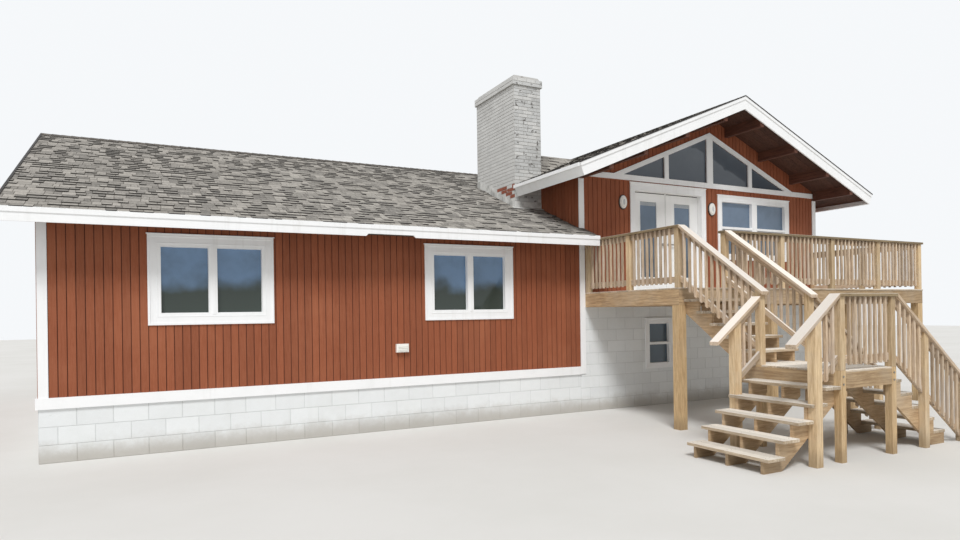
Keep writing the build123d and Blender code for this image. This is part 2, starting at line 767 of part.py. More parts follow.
def make_deck():
    """The raised deck along the front of the tall part."""
    frame = platform(deck_left_x, deck_right_x, deck_front_y, front_y, deck_top_z, deck_joist_deep,
                     deck_joist_bays)
    write("deck_frame", frame)
    boards = block(deck_left_x, deck_right_x, deck_front_y - board_overhang, front_y,
                   deck_top_z - board_thick, deck_top_z)
    write("deck_boards", boards)
    half = support_size / 2
    low_z = deck_top_z - board_thick - deck_joist_deep
    span = (deck_right_x - deck_left_x) / (deck_support_count - 1)
    y = deck_front_y + half
    posts = []
    for i in range(deck_support_count):
        x = min(max(deck_left_x + i * span, deck_left_x + half), deck_right_x - half)
        posts.append(block(x - half, x + half, y - half, y + half, 0, low_z))
    write("deck_posts", *posts)


def make_deck_railings():
    """Railings of the deck: left side, front right of the steps, and right side."""
    clear = post_size / 2
    wall_end = front_y - clear - casing_thick
    right_x = deck_right_x - post_inset
    left = level_rail(False, stair_left_x, -1, rail_line_y, wall_end, side_rail_bays, deck_top_z,
                      left_rail_height, cap_start=cap_width / 2, cap_end=clear)
    front = level_rail(True, rail_line_y, -1, stair_right_x, right_x, front_rail_bays, deck_top_z,
                       front_rail_height, cap_start=cap_width / 2, cap_end=cap_width / 2)
    right = level_rail(False, right_x, 1, rail_line_y, wall_end, side_rail_bays, deck_top_z,
                       front_rail_height, cap_end=clear)
    write("deck_rail_left", left)
    write("deck_rail_front", front)
    write("deck_rail_right", right - front)


def stringer_outline(run, rim_deep, sign):
    """One cut stringer, as (distance out from the upper edge, height below the upper surface)."""
    points = []
    for k in range(1, treads + 1):
        z = -k * rise - tread_thick
        points += [(sign * (k - 1) * run, z), (sign * k * run, z)]
    foot = -risers * rise
    points.append((sign * treads * run, foot))
    slope = rise / run
    start_z = -rise - tread_thick - stringer_throat
    foot_out = (start_z - foot) / slope
    points.append((sign * foot_out, foot))
    points.append((-sign * stringer_lap, start_z + slope * stringer_lap))
    rim_bottom = -board_thick - rim_deep
    points += [(-sign * stringer_lap, rim_bottom), (0, rim_bottom)]
    return points


def flight_members(run, rim_deep, sign, edge, top_z, stringer_span, tread_span, carry):
    """The stringers and treads of one flight."""
    outline = [(edge + u, top_z + z) for u, z in stringer_outline(run, rim_deep, sign)]
    w0, w1 = stringer_span
    half = stringer_thick / 2
    stringers = []
    for middle in (w0 + half, (w0 + w1) / 2, w1 - half):
        stringers.append(carry(outline, middle - half, middle + half))
    boards = []
    for k in range(1, treads + 1):
        z = top_z - k * rise
        a = edge + sign * (k - 1) * run
        b = edge + sign * (k * run + tread_nosing)
        board = [(a, z - tread_thick), (b, z - tread_thick), (b, z), (a, z)]
        boards.append(carry(board, *tread_span))
    return stringers, boards


def make_flights():
    """Stringers and treads of the upper, left and right flights."""
    half = post_size / 2
    upper_stringers = (stair_left_x + stringer_inset, stair_right_x - stringer_inset)
    upper_treads = (stair_left_x + half, stair_right_x - half)
    between_posts = (landing_front_rail_y + half, landing_back_rail_y - half)
    over_posts = (landing_front_rail_y - half, landing_back_rail_y + half)
    groups = {
        "upper": flight_members(upper_run, deck_joist_deep, -1, deck_front_y, deck_top_z, upper_stringers,
                                upper_treads, prism_x),
        "left": flight_members(left_run, landing_joist_deep, -1, landing_left_x, landing_top_z,
                               between_posts, over_posts, prism_y),
        "right": flight_members(right_run, landing_joist_deep, 1, landing_right_x, landing_top_z,
                                between_posts, between_posts, prism_y),
    }
    newels = [left_newel(y, inward) for y, inward in landing_lines]
    all_stringers = []
    for name, (stringers, boards) in groups.items():
        all_stringers += stringers
        if name == "left":
            boards = [board - newels[0] - newels[1] for board in boards]
        write(f"{name}_flight_treads", *boards)
    write("stair_stringers", *all_stringers)


def left_newel(y, inward):
    """The space of one thick post of the left flight, from the ground up."""
    x = stair_left_x - left_newel_reach
    half = newel_size / 2
    y0, y1 = post_span(y, inward, newel_size)
    return block(x - half, x + half, y0, y1, 0, landing_top_z)


def make_landing():
    """The landing between the flights, on four posts that stand in its corners."""
    half = post_size / 2
    posts = []
    for x in (stair_left_x, stair_right_x):
        for y, _ in landing_lines:
            posts.append(block(x - half, x + half, y - half, y + half, 0, landing_top_z))
    write("landing_posts", *posts)
    frame = platform(landing_left_x, landing_right_x, landing_front_y, landing_back_y, landing_top_z,
                     landing_joist_deep, landing_joist_bays)
    boards = block(landing_left_x, landing_right_x, landing_front_y, landing_back_y,
                   landing_top_z - board_thick, landing_top_z)
    for post in posts:
        frame -= post
        boards -= post
    write("landing_frame", frame)
    write("landing_boards", boards)
    rail = level_rail(True, landing_front_rail_y, -1, stair_left_x, stair_right_x, 1, landing_top_z,
                      landing_rail_height, cap_start=cap_width / 2, cap_end=cap_width / 2)
    write("landing_rail", rail)


def post_span(line, inward, size):
    """Where a stair post stands across its railing: its inner face keeps in line with the others."""
    face = line + inward * post_size / 2
    return sorted((face, face - inward * size))


def sloped_bar(a0, z0, a1, z1, deep, carry, w0, w1):
    """A straight sloping board between two points, with upright ends."""
    return carry([(a0, z0), (a1, z1), (a1, z1 - deep), (a0, z0 - deep)], w0, w1)


def sloped_rail(start, end, floor_z, height, run, line, inward, carry, posts, cap_end):
    """A stair railing from the post face at start down to end, with posts (place, foot height, size)."""
    sign = 1 if end > start else -1
    slope = rise / run
    top_z = floor_z + height
    cap_start = start + sign * (cap_width - post_size) / 2
    half_cap, half_bar, half_rail = cap_width / 2, baluster_size / 2, rail_thick / 2
    cap_rise = cap_thick / math.cos(math.atan(slope))
    rail_middle = line + inward * rail_inward
    bar_middle = line - inward * baluster_outward

    def cap_under(a):
        return top_z - cap_rise - sign * (a - cap_start) * slope

    pieces = [sloped_bar(cap_start, top_z, cap_end, cap_under(cap_end) + cap_rise, cap_rise, carry,
                         line - half_cap, line + half_cap)]
    pieces.append(sloped_bar(cap_start, cap_under(cap_start), end, cap_under(end), rail_deep, carry,
                             rail_middle - half_rail, rail_middle + half_rail))
    low = height - bottom_rail_gap - rail_deep - cap_thick
    pieces.append(sloped_bar(start, cap_under(start) - low, end, cap_under(end) - low, rail_deep, carry,
                             rail_middle - half_rail, rail_middle + half_rail))
    edges = [start]
    for middle, foot_z, size in posts:
        half = size / 2
        a, b = middle - half, middle + half
        pieces.append(carry([(a, foot_z), (b, foot_z), (b, cap_under(b)), (a, cap_under(a))],
                            *post_span(line, inward, size)))
        edges += [middle - sign * half, middle + sign * half]
    edges.append(end)
    drop = low + rail_deep + baluster_drop

    def bar(m, _z0, _z1):
        m0, m1 = m - half_bar, m + half_bar
        return carry([(m0, cap_under(m0) - drop), (m1, cap_under(m1) - drop), (m1, cap_under(m1)),
                      (m0, cap_under(m0))], bar_middle - half_bar, bar_middle + half_bar)

    for a, b in zip(edges[::2], edges[1::2]):
        pieces += balusters(min(a, b), max(a, b), 0, 0, bar)
    return fused(pieces)


def make_stair_rails():
    """Railings of the three flights."""
    half_post = post_size / 2
    upper_start = rail_line_y - half_post
    upper_end = landing_back_rail_y - half_post
    upper_posts = [(landing_back_rail_y, landing_top_z, post_size)]
    upper = []
    for x, inward, height in ((stair_left_x, 1, left_rail_height), (stair_right_x, -1, front_rail_height)):
        upper.append(sloped_rail(upper_start, upper_end, deck_top_z, height, upper_run, x, inward, prism_x,
                                 upper_posts, upper_end - half_post))
    write("upper_flight_rails", *upper)
    left_start = stair_left_x - half_post
    newel_x = stair_left_x - left_newel_reach
    left_posts = [(newel_x, 0, newel_size)]
    left_end = newel_x - newel_size / 2
    right_start = stair_right_x + half_post
    right_posts = [(stair_right_x + right_newel_reach, 0, post_size),
                   (stair_right_x + right_end_reach, 0, post_size)]
    right_end = stair_right_x + right_end_reach + half_post
    left, right = [], []
    for y, inward in landing_lines:
        left.append(sloped_rail(left_start, left_end, landing_top_z, landing_rail_height, left_run, y, inward,
                                prism_y, left_posts, stair_left_x - left_cap_reach))
        right.append(sloped_rail(right_start, right_end, landing_top_z, landing_rail_height, right_run, y,
                                 inward, prism_y, right_posts, right_end + half_post))
    write("left_flight_rails", *left)
    write("right_flight_rails", *right)


os.makedirs("parts", exist_ok=True)
wing_slopes = make_wing()
wing_fascias, wing_rakes = make_wing_trim()
make_wing_windows()
make_lower_storey()
make_upper_walls()
make_gable_trim()
make_tall_windows()
make_tall_roof()
tall_fascias, tall_rakes = make_tall_trim()
write("eave_fascias", *wing_fascias, *tall_fascias)
write("rake_boards", *wing_rakes, *tall_rakes)
make_roof_beams()
make_chimney()
make_boards(wing_slopes)
make_fittings()
make_doors()
make_deck()
make_deck_railings()
make_flights()
make_landing()
make_stair_rails()
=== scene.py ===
"""Looks of a timber beach house: grooved siding, shingles, masonry, glazing, decking and their finishes."""

import json
import logging
import math
import random
from collections.abc import Callable, Iterable, Sequence
from dataclasses import dataclass, field
from enum import Enum

import bmesh
import bpy
from mathutils import Matrix, Vector


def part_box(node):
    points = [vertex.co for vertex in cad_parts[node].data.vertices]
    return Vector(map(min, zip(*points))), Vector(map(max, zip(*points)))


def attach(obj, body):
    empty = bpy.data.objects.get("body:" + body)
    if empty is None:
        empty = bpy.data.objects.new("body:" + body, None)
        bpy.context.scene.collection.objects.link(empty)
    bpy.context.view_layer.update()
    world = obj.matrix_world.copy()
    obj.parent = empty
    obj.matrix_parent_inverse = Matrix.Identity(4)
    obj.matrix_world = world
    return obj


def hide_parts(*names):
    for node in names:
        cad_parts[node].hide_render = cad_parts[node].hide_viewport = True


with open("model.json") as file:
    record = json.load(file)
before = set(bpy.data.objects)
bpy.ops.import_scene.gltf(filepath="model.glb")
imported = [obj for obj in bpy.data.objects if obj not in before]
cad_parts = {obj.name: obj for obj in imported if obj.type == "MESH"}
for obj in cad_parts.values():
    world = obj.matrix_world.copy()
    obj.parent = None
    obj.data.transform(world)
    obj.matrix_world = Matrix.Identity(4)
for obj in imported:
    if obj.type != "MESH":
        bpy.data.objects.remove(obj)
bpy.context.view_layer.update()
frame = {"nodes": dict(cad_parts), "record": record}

LOG = logging.getLogger("beach_house")

Point = tuple[float, float, float]
Span = tuple[float, float]
Colour = tuple[float, float, float]
Height = Callable[[float], float]
Corner = Sequence[float]
Verts = Sequence[bmesh.types.BMVert]
Socket = bpy.types.NodeSocket
Sockets = bpy.types.bpy_prop_collection

ROOF_PITCH = 5.0 / 12.0
SLOPE_ANGLE = math.atan(ROOF_PITCH)
FASCIA = 0.025
TALL_SLAB = 0.13
WING_SLAB = 0.15
CORNER_BOARD = 0.11
POST = 0.089
RISE = 0.178
STEPS = 5
NOSING = 0.025
CHIMNEY_CAP_OUT = 0.03
HALF_TALL, HALF_DEPTH = (-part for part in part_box("front_gable_wall")[0].xy)
TALL_EAVE, TALL_GABLE, TALL_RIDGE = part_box("main_roof_right")[1]
WING_RIGHT, _, WING_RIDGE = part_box("wing_roof_front")[1]
WING_RAKE, WING_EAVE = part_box("wing_roof_front")[0].x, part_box("wing_roof_back")[1].y
WING_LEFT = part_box("wing_end_wall")[0].x
TALL_OUT, WING_OUT = TALL_EAVE + FASCIA * math.cos(SLOPE_ANGLE), WING_EAVE + FASCIA
SADDLE_END = -(TALL_RIDGE - WING_RIDGE) / ROOF_PITCH
CHIMNEY_X, CHIMNEY_Y = ((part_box("chimney")[0][i] + CHIMNEY_CAP_OUT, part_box("chimney")[1][i] - CHIMNEY_CAP_OUT)
                        for i in (0, 1))
DECK_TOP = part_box("deck_boards")[1].z
LANDING_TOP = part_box("landing_boards")[1].z
BLOCK_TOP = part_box("block_walls")[1].z
Z_AXIS = Vector((0, 0, 1))


def tall_top(x: float) -> float:
    """Return the height of the tall roof's upper surface at x."""
    return TALL_RIDGE - abs(x) * ROOF_PITCH


def wing_top(y: float) -> float:
    """Return the height of the wing roof's upper surface at y."""
    return WING_RIDGE - abs(y) * ROOF_PITCH


def level(z: float) -> Height:
    """Return a height that is the same everywhere."""
    return lambda _: z


def raised(height: Height, rise: float) -> Height:
    """Return a height moved up by a distance."""
    return lambda at: height(at) + rise


def mirrored(sign: int, near: float, far: float) -> Span:
    """Return two distances from the middle as coordinates on one side, the lower first."""
    return min(sign * near, sign * far), max(sign * near, sign * far)


# Shader parts


class Tree:
    """A node tree with short calls for adding and joining its nodes."""

    def __init__(self, tree: bpy.types.NodeTree) -> None:
        """Keep the tree.

        Args:
            tree: The material's or the group's node tree.
        """
        self.tree = tree

    def add(self, kind: str, inputs: dict | None = None, **settings: object) -> bpy.types.Node:
        """Add a node.

        Args:
            kind: The node's type name.
            inputs: Input names or numbers, with a value or a socket that feeds them.
            **settings: The node's own properties.

        Returns:
            The new node.
        """
        node = self.tree.nodes.new(kind)
        for name, value in settings.items():
            setattr(node, name, value)
        for name, value in (inputs or {}).items():
            self.feed(node.inputs[name], value)
        return node

    def feed(self, socket: Socket, value: object) -> None:
        """Give an input its value, or link it to the socket that feeds it."""
        if isinstance(value, bpy.types.NodeSocket):
            self.tree.links.new(value, socket)
        elif isinstance(value, tuple) and len(value) == 3 and socket.type == "RGBA":
            socket.default_value = (*value, 1.0)
        else:
            socket.default_value = value

    def maths(self, operation: str, first: object, second: object, clamp: bool = False) -> Socket:
        """Return the result of a Math node on two values."""
        node = self.add("ShaderNodeMath", {0: first, 1: second}, operation=operation, use_clamp=clamp)
        return node.outputs[0]

    def times(self, first: object, second: object) -> Socket:
        """Return two values multiplied."""
        return self.maths("MULTIPLY", first, second)

    def plus(self, first: object, second: object, clamp: bool = False) -> Socket:
        """Return two values added."""
        return self.maths("ADD", first, second, clamp)

    def ramp(self, value: object, low: object, high: object, to_low: float = 0.0,
             to_high: float = 1.0) -> Socket:
        """Return a value carried smoothly from one range to another."""
        ends = {"From Min": low, "From Max": high, "To Min": to_low, "To Max": to_high}
        node = self.add("ShaderNodeMapRange", {"Value": value, **ends}, interpolation_type="SMOOTHSTEP")
        return node.outputs["Result"]

    def mix(self, amount: object, first: object, second: object, blend: str = "MIX") -> Socket:
        """Return two colours mixed by an amount."""
        node = self.add("ShaderNodeMix", data_type="RGBA", blend_type=blend)
        for number, value in ((0, amount), (6, first), (7, second)):
            self.feed(node.inputs[number], value)
        return node.outputs[2]

    def noise(self, vector: object, scale: object, detail: float = 3.0, rough: float = 0.55,
              distortion: float = 0.0) -> Socket:
        """Return the value of a Noise node."""
        inputs = {"Vector": vector, "Scale": scale, "Detail": detail, "Roughness": rough,
                  "Distortion": distortion}
        return self.add("ShaderNodeTexNoise", inputs).outputs[0]

    def stretched(self, vector: object, factors: object) -> Socket:
        """Return a vector with each part multiplied."""
        return self.add("ShaderNodeVectorMath", {0: vector, 1: factors}, operation="MULTIPLY").outputs[0]

    def upward(self, vector: object) -> Socket:
        """Return a vector's z."""
        return self.add("ShaderNodeSeparateXYZ", {0: vector}).outputs[2]


class Effect(Enum):
    """The shared shader groups."""

    GRAIN = "wood_grain"
    BLOTCH = "blotches"
    STREAK = "rain_streaks"
    SPLASH = "ground_splash"
    GRIT = "grit"


def new_group(effect: Effect, inputs: dict[str, float | Point],
              outputs: Iterable[str]) -> tuple[Tree, Sockets]:
    """Start a shader group that has a Vector input.

    Args:
        effect: Which group.
        inputs: The names of its other inputs, with their defaults.
        outputs: The names of the outputs, all of them values.

    Returns:
        The group's tree, and the sockets that its inputs come from.
    """
    tree = Tree(bpy.data.node_groups.new(effect.value, "ShaderNodeTree"))
    face = tree.tree.interface
    face.new_socket(name="Vector", in_out="INPUT", socket_type="NodeSocketVector")
    for label, default in inputs.items():
        kind = "NodeSocketVector" if isinstance(default, tuple) else "NodeSocketFloat"
        face.new_socket(name=label, in_out="INPUT", socket_type=kind).default_value = default
    for label in outputs:
        face.new_socket(name=label, in_out="OUTPUT", socket_type="NodeSocketFloat")
    return tree, tree.add("NodeGroupInput").outputs


def close_group(tree: Tree, **outputs: Socket) -> bpy.types.NodeTree:
    """Join a group's outputs, and return its node tree."""
    tree.add("NodeGroupOutput", {name.capitalize(): socket for name, socket in outputs.items()})
    return tree.tree


def build_grain() -> bpy.types.NodeTree:
    """Build the wood grain group: long fibres, growth bands and a fine height."""
    tree, source = new_group(Effect.GRAIN, {"Along": (1.0, 12.0, 12.0), "Scale": 3.0}, ("Mask", "Height"))
    spread = tree.stretched(source["Vector"], source["Along"])
    bands = tree.noise(spread, source["Scale"], 4.0, 0.6, distortion=0.6)
    fibres = tree.noise(spread, tree.times(source["Scale"], 4.0), 3.0, 0.7)
    mask = tree.ramp(tree.plus(tree.times(bands, 0.65), tree.times(fibres, 0.35)), 0.32, 0.68)
    return close_group(tree, mask=mask, height=tree.plus(tree.times(mask, 0.5), tree.times(fibres, 0.5)))


def build_blotch() -> bpy.types.NodeTree:
    """Build the blotch group: soft uneven patches whose share is an input."""
    tree, source = new_group(Effect.BLOTCH, {"Scale": 1.0, "Low": 0.4, "High": 0.65}, ("Mask",))
    cloud = tree.noise(source["Vector"], source["Scale"], 6.0, 0.62)
    return close_group(tree, mask=tree.ramp(cloud, source["Low"], source["High"]))


def build_streak() -> bpy.types.NodeTree:
    """Build the streak group: marks that run down a wall with the rain."""
    tree, source = new_group(Effect.STREAK, {"Scale": 6.0}, ("Mask",))
    tall = tree.stretched(source["Vector"], (1.0, 1.0, 0.06))
    lines = tree.noise(tall, source["Scale"], 4.0, 0.6)
    fade = tree.noise(source["Vector"], 0.9, 2.0)
    return close_group(tree, mask=tree.times(tree.ramp(lines, 0.48, 0.72), tree.ramp(fade, 0.35, 0.65)))


def build_splash() -> bpy.types.NodeTree:
    """Build the splash group: soil thrown up on whatever stands on the ground."""
    tree, source = new_group(Effect.SPLASH, {"Reach": 0.35}, ("Mask",))
    rough = tree.noise(source["Vector"], 5.0, 5.0, 0.65)
    reach = tree.times(source["Reach"], tree.plus(rough, 0.35))
    ratio = tree.maths("DIVIDE", tree.upward(source["Vector"]), reach)
    return close_group(tree, mask=tree.ramp(ratio, 0.1, 1.1, 1.0, 0.0))


def build_grit() -> bpy.types.NodeTree:
    """Build the grit group: mineral specks and their fine height."""
    tree, source = new_group(Effect.GRIT, {"Scale": 160.0}, ("Mask", "Height"))
    specks = tree.noise(source["Vector"], source["Scale"], 2.0, 0.8)
    coarse = tree.noise(source["Vector"], tree.times(source["Scale"], 0.2), 2.0, 0.5)
    mask = tree.ramp(tree.plus(tree.times(specks, 0.6), tree.times(coarse, 0.4)), 0.36, 0.64)
    return close_group(tree, mask=mask, height=specks)


BUILDERS: dict[Effect, Callable[[], bpy.types.NodeTree]] = {
    Effect.GRAIN: build_grain, Effect.BLOTCH: build_blotch, Effect.STREAK: build_streak,
    Effect.SPLASH: build_splash, Effect.GRIT: build_grit,
}
GROUPS: dict[Effect, bpy.types.NodeTree] = {}


class Surface(Tree):
    """A material being made, with its object coordinates, board coordinates and face tones at hand."""

    def __init__(self, name: str) -> None:
        """Start a material with a Principled shader and its inputs.

        Args:
            name: The material's name.
        """
        self.material = bpy.data.materials.new(name)
        self.material.use_nodes = True
        super().__init__(self.material.node_tree)
        self.shader = self.tree.nodes["Principled BSDF"]
        self.place = self.add("ShaderNodeTexCoord").outputs["Object"]
        self.tone = self.add("ShaderNodeAttribute", attribute_name="tone").outputs["Fac"]
        self.board = self.add("ShaderNodeAttribute", attribute_name="board").outputs["Vector"]

    def effect(self, kind: Effect, output: str = "Mask", **inputs: object) -> Socket:
        """Place a shared group.

        Args:
            kind: Which group.
            output: The output that is wanted.
            **inputs: Its named inputs.

        Returns:
            The output socket.
        """
        if kind not in GROUPS:
            GROUPS[kind] = BUILDERS[kind]()
        node = self.add("ShaderNodeGroup", node_tree=GROUPS[kind])
        self.feed(node.inputs["Vector"], inputs.pop("vector", self.place))
        for name, value in inputs.items():
            self.feed(node.inputs[name.capitalize()], value)
        return node.outputs[output]

    def stained(self, colour: object, stain: object, mask: Socket, share: float) -> Socket:
        """Return a colour that a mask covers with a share of a stain."""
        return self.mix(self.times(mask, share), colour, stain)

    def toned(self, colour: object, strength: float) -> Socket:
        """Return a colour made lighter or darker by the face's tone, from -1 to 1."""
        factor = self.plus(self.times(self.tone, strength), 1.0)
        grey = self.add("ShaderNodeCombineXYZ", {0: factor, 1: factor, 2: factor}).outputs[0]
        return self.mix(1.0, colour, grey, "MULTIPLY")

    def close(self, colour: object, rough: object, height: object = None, depth: float = 0.002,
              **sockets: object) -> bpy.types.Material:
        """Finish the material.

        Args:
            colour: The base colour.
            rough: The roughness.
            height: What the bump is made from.
            depth: The bump's distance in metres.
            **sockets: Plain numbers for the shader's own sockets.

        Returns:
            The material.
        """
        self.feed(self.shader.inputs["Base Color"], colour)
        self.feed(self.shader.inputs["Roughness"], rough)
        if height is not None:
            bump = self.add("ShaderNodeBump", {"Height": height, "Distance": depth, "Strength": 0.8})
            self.feed(self.shader.inputs["Normal"], bump.outputs["Normal"])
        for name, value in sockets.items():
            socket = "IOR" if name == "ior" else name.replace("_", " ").title()
            self.shader.inputs[socket].default_value = value
        return self.material


def rgb(red: int, green: int, blue: int) -> Colour:
    """Return a linear colour from one as it is seen, in 0 to 255."""
    shares = [part / 255.0 for part in (red, green, blue)]
    return tuple(share / 12.92 if share <= 0.04045 else ((share + 0.055) / 1.055) ** 2.4 for share in shares)


class Along(Enum):
    """Which way a piece's grain runs."""

    X = (1.0, 14.0, 14.0)
    Y = (14.0, 1.0, 14.0)
    Z = (14.0, 14.0, 1.0)
    FLAT = (1.0, 1.0, 14.0)


@dataclass(frozen=True)
class WoodFinish:
    """Bare or stained wood, with grain, weathered patches and soil near the ground."""

    name: str
    light: Colour
    dark: Colour
    worn: Colour
    along: Along = Along.Z
    scale: float = 3.0
    wear: float = 0.6
    rough: float = 0.75
    splash: bool = True
    tone: float = 0.16
    own_axes: bool = False
    # Colour of the upward faces: partly sun bleaching, partly painted light on the tops
    bleached_and_lit_top: Colour | None = None
    soil: Colour = rgb(112, 94, 72)

    def build(self) -> bpy.types.Material:
        """Return the finished material."""
        made = Surface(self.name)
        axes = made.board if self.own_axes else made.place
        fibres = {"vector": axes, "along": self.along.value, "scale": self.scale}
        grain = made.effect(Effect.GRAIN, **fibres)
        height = made.effect(Effect.GRAIN, "Height", **fibres)
        colour = made.mix(grain, self.dark, self.light)
        patches = made.effect(Effect.BLOTCH, vector=axes, scale=1.7, low=0.42, high=0.7)
        colour = made.stained(colour, self.worn, patches, self.wear)
        near = made.stretched(axes, (0.6, 1.0, 1.0))
        knots = made.effect(Effect.BLOTCH, vector=near, scale=7.0, low=0.72, high=0.8)
        colour = made.stained(colour, self.dark, knots, 0.5)
        # Upward faces lighter: partly sun bleaching, partly painted light on the tops
        if self.bleached_and_lit_top:
            facing = made.upward(made.add("ShaderNodeNewGeometry").outputs["Normal"])
            colour = made.mix(made.ramp(facing, 0.3, 0.8, 0.0, 0.8), colour, self.bleached_and_lit_top)
        if self.splash:
            colour = made.stained(colour, self.soil, made.effect(Effect.SPLASH, reach=0.3), 0.45)
        rough = made.ramp(grain, 0.0, 1.0, self.rough + 0.08, self.rough - 0.08)
        return made.close(made.toned(colour, self.tone), rough, height, depth=0.0015)


@dataclass(frozen=True)
class PaintFinish:
    """Brushed paint on wood, chalky in patches and stained by run-off."""

    name: str
    colour: Colour
    chalk: Colour
    stain: Colour
    stain_share: float = 0.2
    rough: float = 0.5
    splash: float = 0.3
    soil: Colour = rgb(132, 118, 96)

    def build(self) -> bpy.types.Material:
        """Return the finished material."""
        made = Surface(self.name)
        patches = made.effect(Effect.BLOTCH, scale=2.3, low=0.4, high=0.7)
        colour = made.stained(self.colour, self.chalk, patches, 0.5)
        colour = made.stained(colour, self.stain, made.effect(Effect.STREAK, scale=11.0), self.stain_share)
        colour = made.stained(colour, self.soil, made.effect(Effect.SPLASH, reach=self.splash), 0.5)
        brush = made.effect(Effect.GRAIN, "Height", along=Along.Z.value, scale=5.0)
        rough = made.ramp(patches, 0.0, 1.0, self.rough, self.rough + 0.2)
        return made.close(made.toned(colour, 0.06), rough, brush, depth=0.0006)


@dataclass(frozen=True)
class SidingFinish:
    """Red stain on rough-sawn grooved boards, faded in patches."""

    name: str
    colour: Colour
    faded: Colour
    deep: Colour

    def build(self) -> bpy.types.Material:
        """Return the finished material."""
        made = Surface(self.name)
        saw = made.effect(Effect.GRAIN, along=Along.Z.value, scale=4.0)
        height = made.effect(Effect.GRAIN, "Height", along=Along.Z.value, scale=6.0)
        colour = made.stained(self.colour, self.deep, saw, 0.35)
        faded = made.effect(Effect.BLOTCH, scale=0.9, low=0.42, high=0.72)
        colour = made.stained(colour, self.faded, faded, 0.45)
        colour = made.stained(colour, self.deep, made.effect(Effect.STREAK, scale=8.0), 0.3)
        rough = made.ramp(saw, 0.0, 1.0, 0.72, 0.88)
        return made.close(made.toned(colour, 0.09), rough, height, depth=0.0014)


@dataclass(frozen=True)
class ShingleFinish:
    """Mineral granules on asphalt tabs, each tab a little lighter or darker."""

    name: str
    light: Colour
    dark: Colour
    tint: Colour
    base: float = 0.5

    def build(self) -> bpy.types.Material:
        """Return the finished material."""
        made = Surface(self.name)
        grit = made.effect(Effect.GRIT, scale=150.0)
        height = made.effect(Effect.GRIT, "Height", scale=150.0)
        shade = made.plus(made.times(made.tone, 0.3), self.base)
        shade = made.plus(shade, made.times(made.maths("SUBTRACT", grit, 0.5), 0.5), clamp=True)
        colour = made.mix(shade, self.dark, self.light)
        patches = made.effect(Effect.BLOTCH, scale=0.7, low=0.4, high=0.7)
        colour = made.stained(colour, self.tint, patches, 0.2)
        down = made.stretched(made.place, (3.0, 0.35, 0.35))
        streaks = made.effect(Effect.BLOTCH, vector=down, scale=1.6, low=0.5, high=0.75)
        colour = made.stained(colour, self.dark, streaks, 0.1)
        return made.close(colour, made.ramp(grit, 0.0, 1.0, 0.82, 0.95), height, depth=0.0016)


@dataclass(frozen=True)
class MasonryFinish:
    """Paint on brick or block, with fine pits, peeled patches and damp marks."""

    name: str
    paint: Colour
    bare: Colour
    damp: Colour
    peel_low: float = 0.6
    peel_high: float = 0.66
    peel_scale: float = 7.0
    damp_share: float = 0.35
    splash: float = 0.35
    tone: float = 0.1
    soil: Colour = rgb(138, 124, 102)

    def build(self) -> bpy.types.Material:
        """Return the finished material."""
        made = Surface(self.name)
        pits = made.effect(Effect.GRIT, scale=70.0)
        colour = made.stained(self.paint, self.damp, pits, 0.12)
        damp = made.effect(Effect.BLOTCH, scale=1.3, low=0.45, high=0.75)
        colour = made.stained(colour, self.damp, damp, self.damp_share)
        colour = made.stained(colour, self.damp, made.effect(Effect.STREAK, scale=7.0), 0.25)
        peel = made.effect(Effect.BLOTCH, scale=self.peel_scale, low=self.peel_low, high=self.peel_high)
        colour = made.mix(peel, colour, self.bare)
        colour = made.stained(colour, self.soil, made.effect(Effect.SPLASH, reach=self.splash), 0.55)
        height = made.maths("SUBTRACT", made.times(pits, 0.6), made.times(peel, 0.4))
        rough = made.ramp(peel, 0.0, 1.0, 0.66, 0.9)
        return made.close(made.toned(colour, self.tone), rough, height, depth=0.002)


@dataclass(frozen=True)
class GlassFinish:
    """Window glass over a dim room, coloured with a painted reflection: a sky colour higher up fading into a
    darker ground colour lower down, with a little salt haze.
    """

    name: str
    # upper is the painted reflection of the sky, lower the painted reflection of the ground and trees
    upper: Colour
    lower: Colour
    rise: tuple[float, float]
    uneven: float = 0.5

    def build(self) -> bpy.types.Material:
        """Return the finished material."""
        made = Surface(self.name)
        uneven = made.times(made.maths("SUBTRACT", made.noise(made.place, 1.6), 0.5), self.uneven)
        # Painted reflection: the sky colour higher up and the ground colour lower down, by height
        share = made.ramp(made.plus(made.upward(made.place), uneven), *self.rise)
        # Salt haze, painted as patches of the lower reflection colour
        haze = made.effect(Effect.BLOTCH, scale=2.6, low=0.35, high=0.75)
        colour = made.stained(made.mix(share, self.lower, self.upper), self.lower, haze, 0.3)
        rough = made.ramp(made.effect(Effect.STREAK, scale=14.0), 0.0, 1.0, 0.04, 0.16)
        return made.close(colour, rough, transmission_weight=0.25, ior=1.45)


@dataclass(frozen=True)
class MetalFinish:
    """Thin sheet or cast metal, dulled by weather."""

    name: str
    colour: Colour
    dull: Colour
    rough: float = 0.45
    metallic: float = 0.6

    def build(self) -> bpy.types.Material:
        """Return the finished material."""
        made = Surface(self.name)
        patches = made.effect(Effect.BLOTCH, scale=6.0, low=0.35, high=0.7)
        grit = made.effect(Effect.GRIT, scale=90.0)
        colour = made.mix(patches, self.colour, self.dull)
        rough = made.ramp(patches, 0.0, 1.0, self.rough, self.rough + 0.25)
        return made.close(colour, rough, grit, depth=0.0006, metallic=self.metallic)


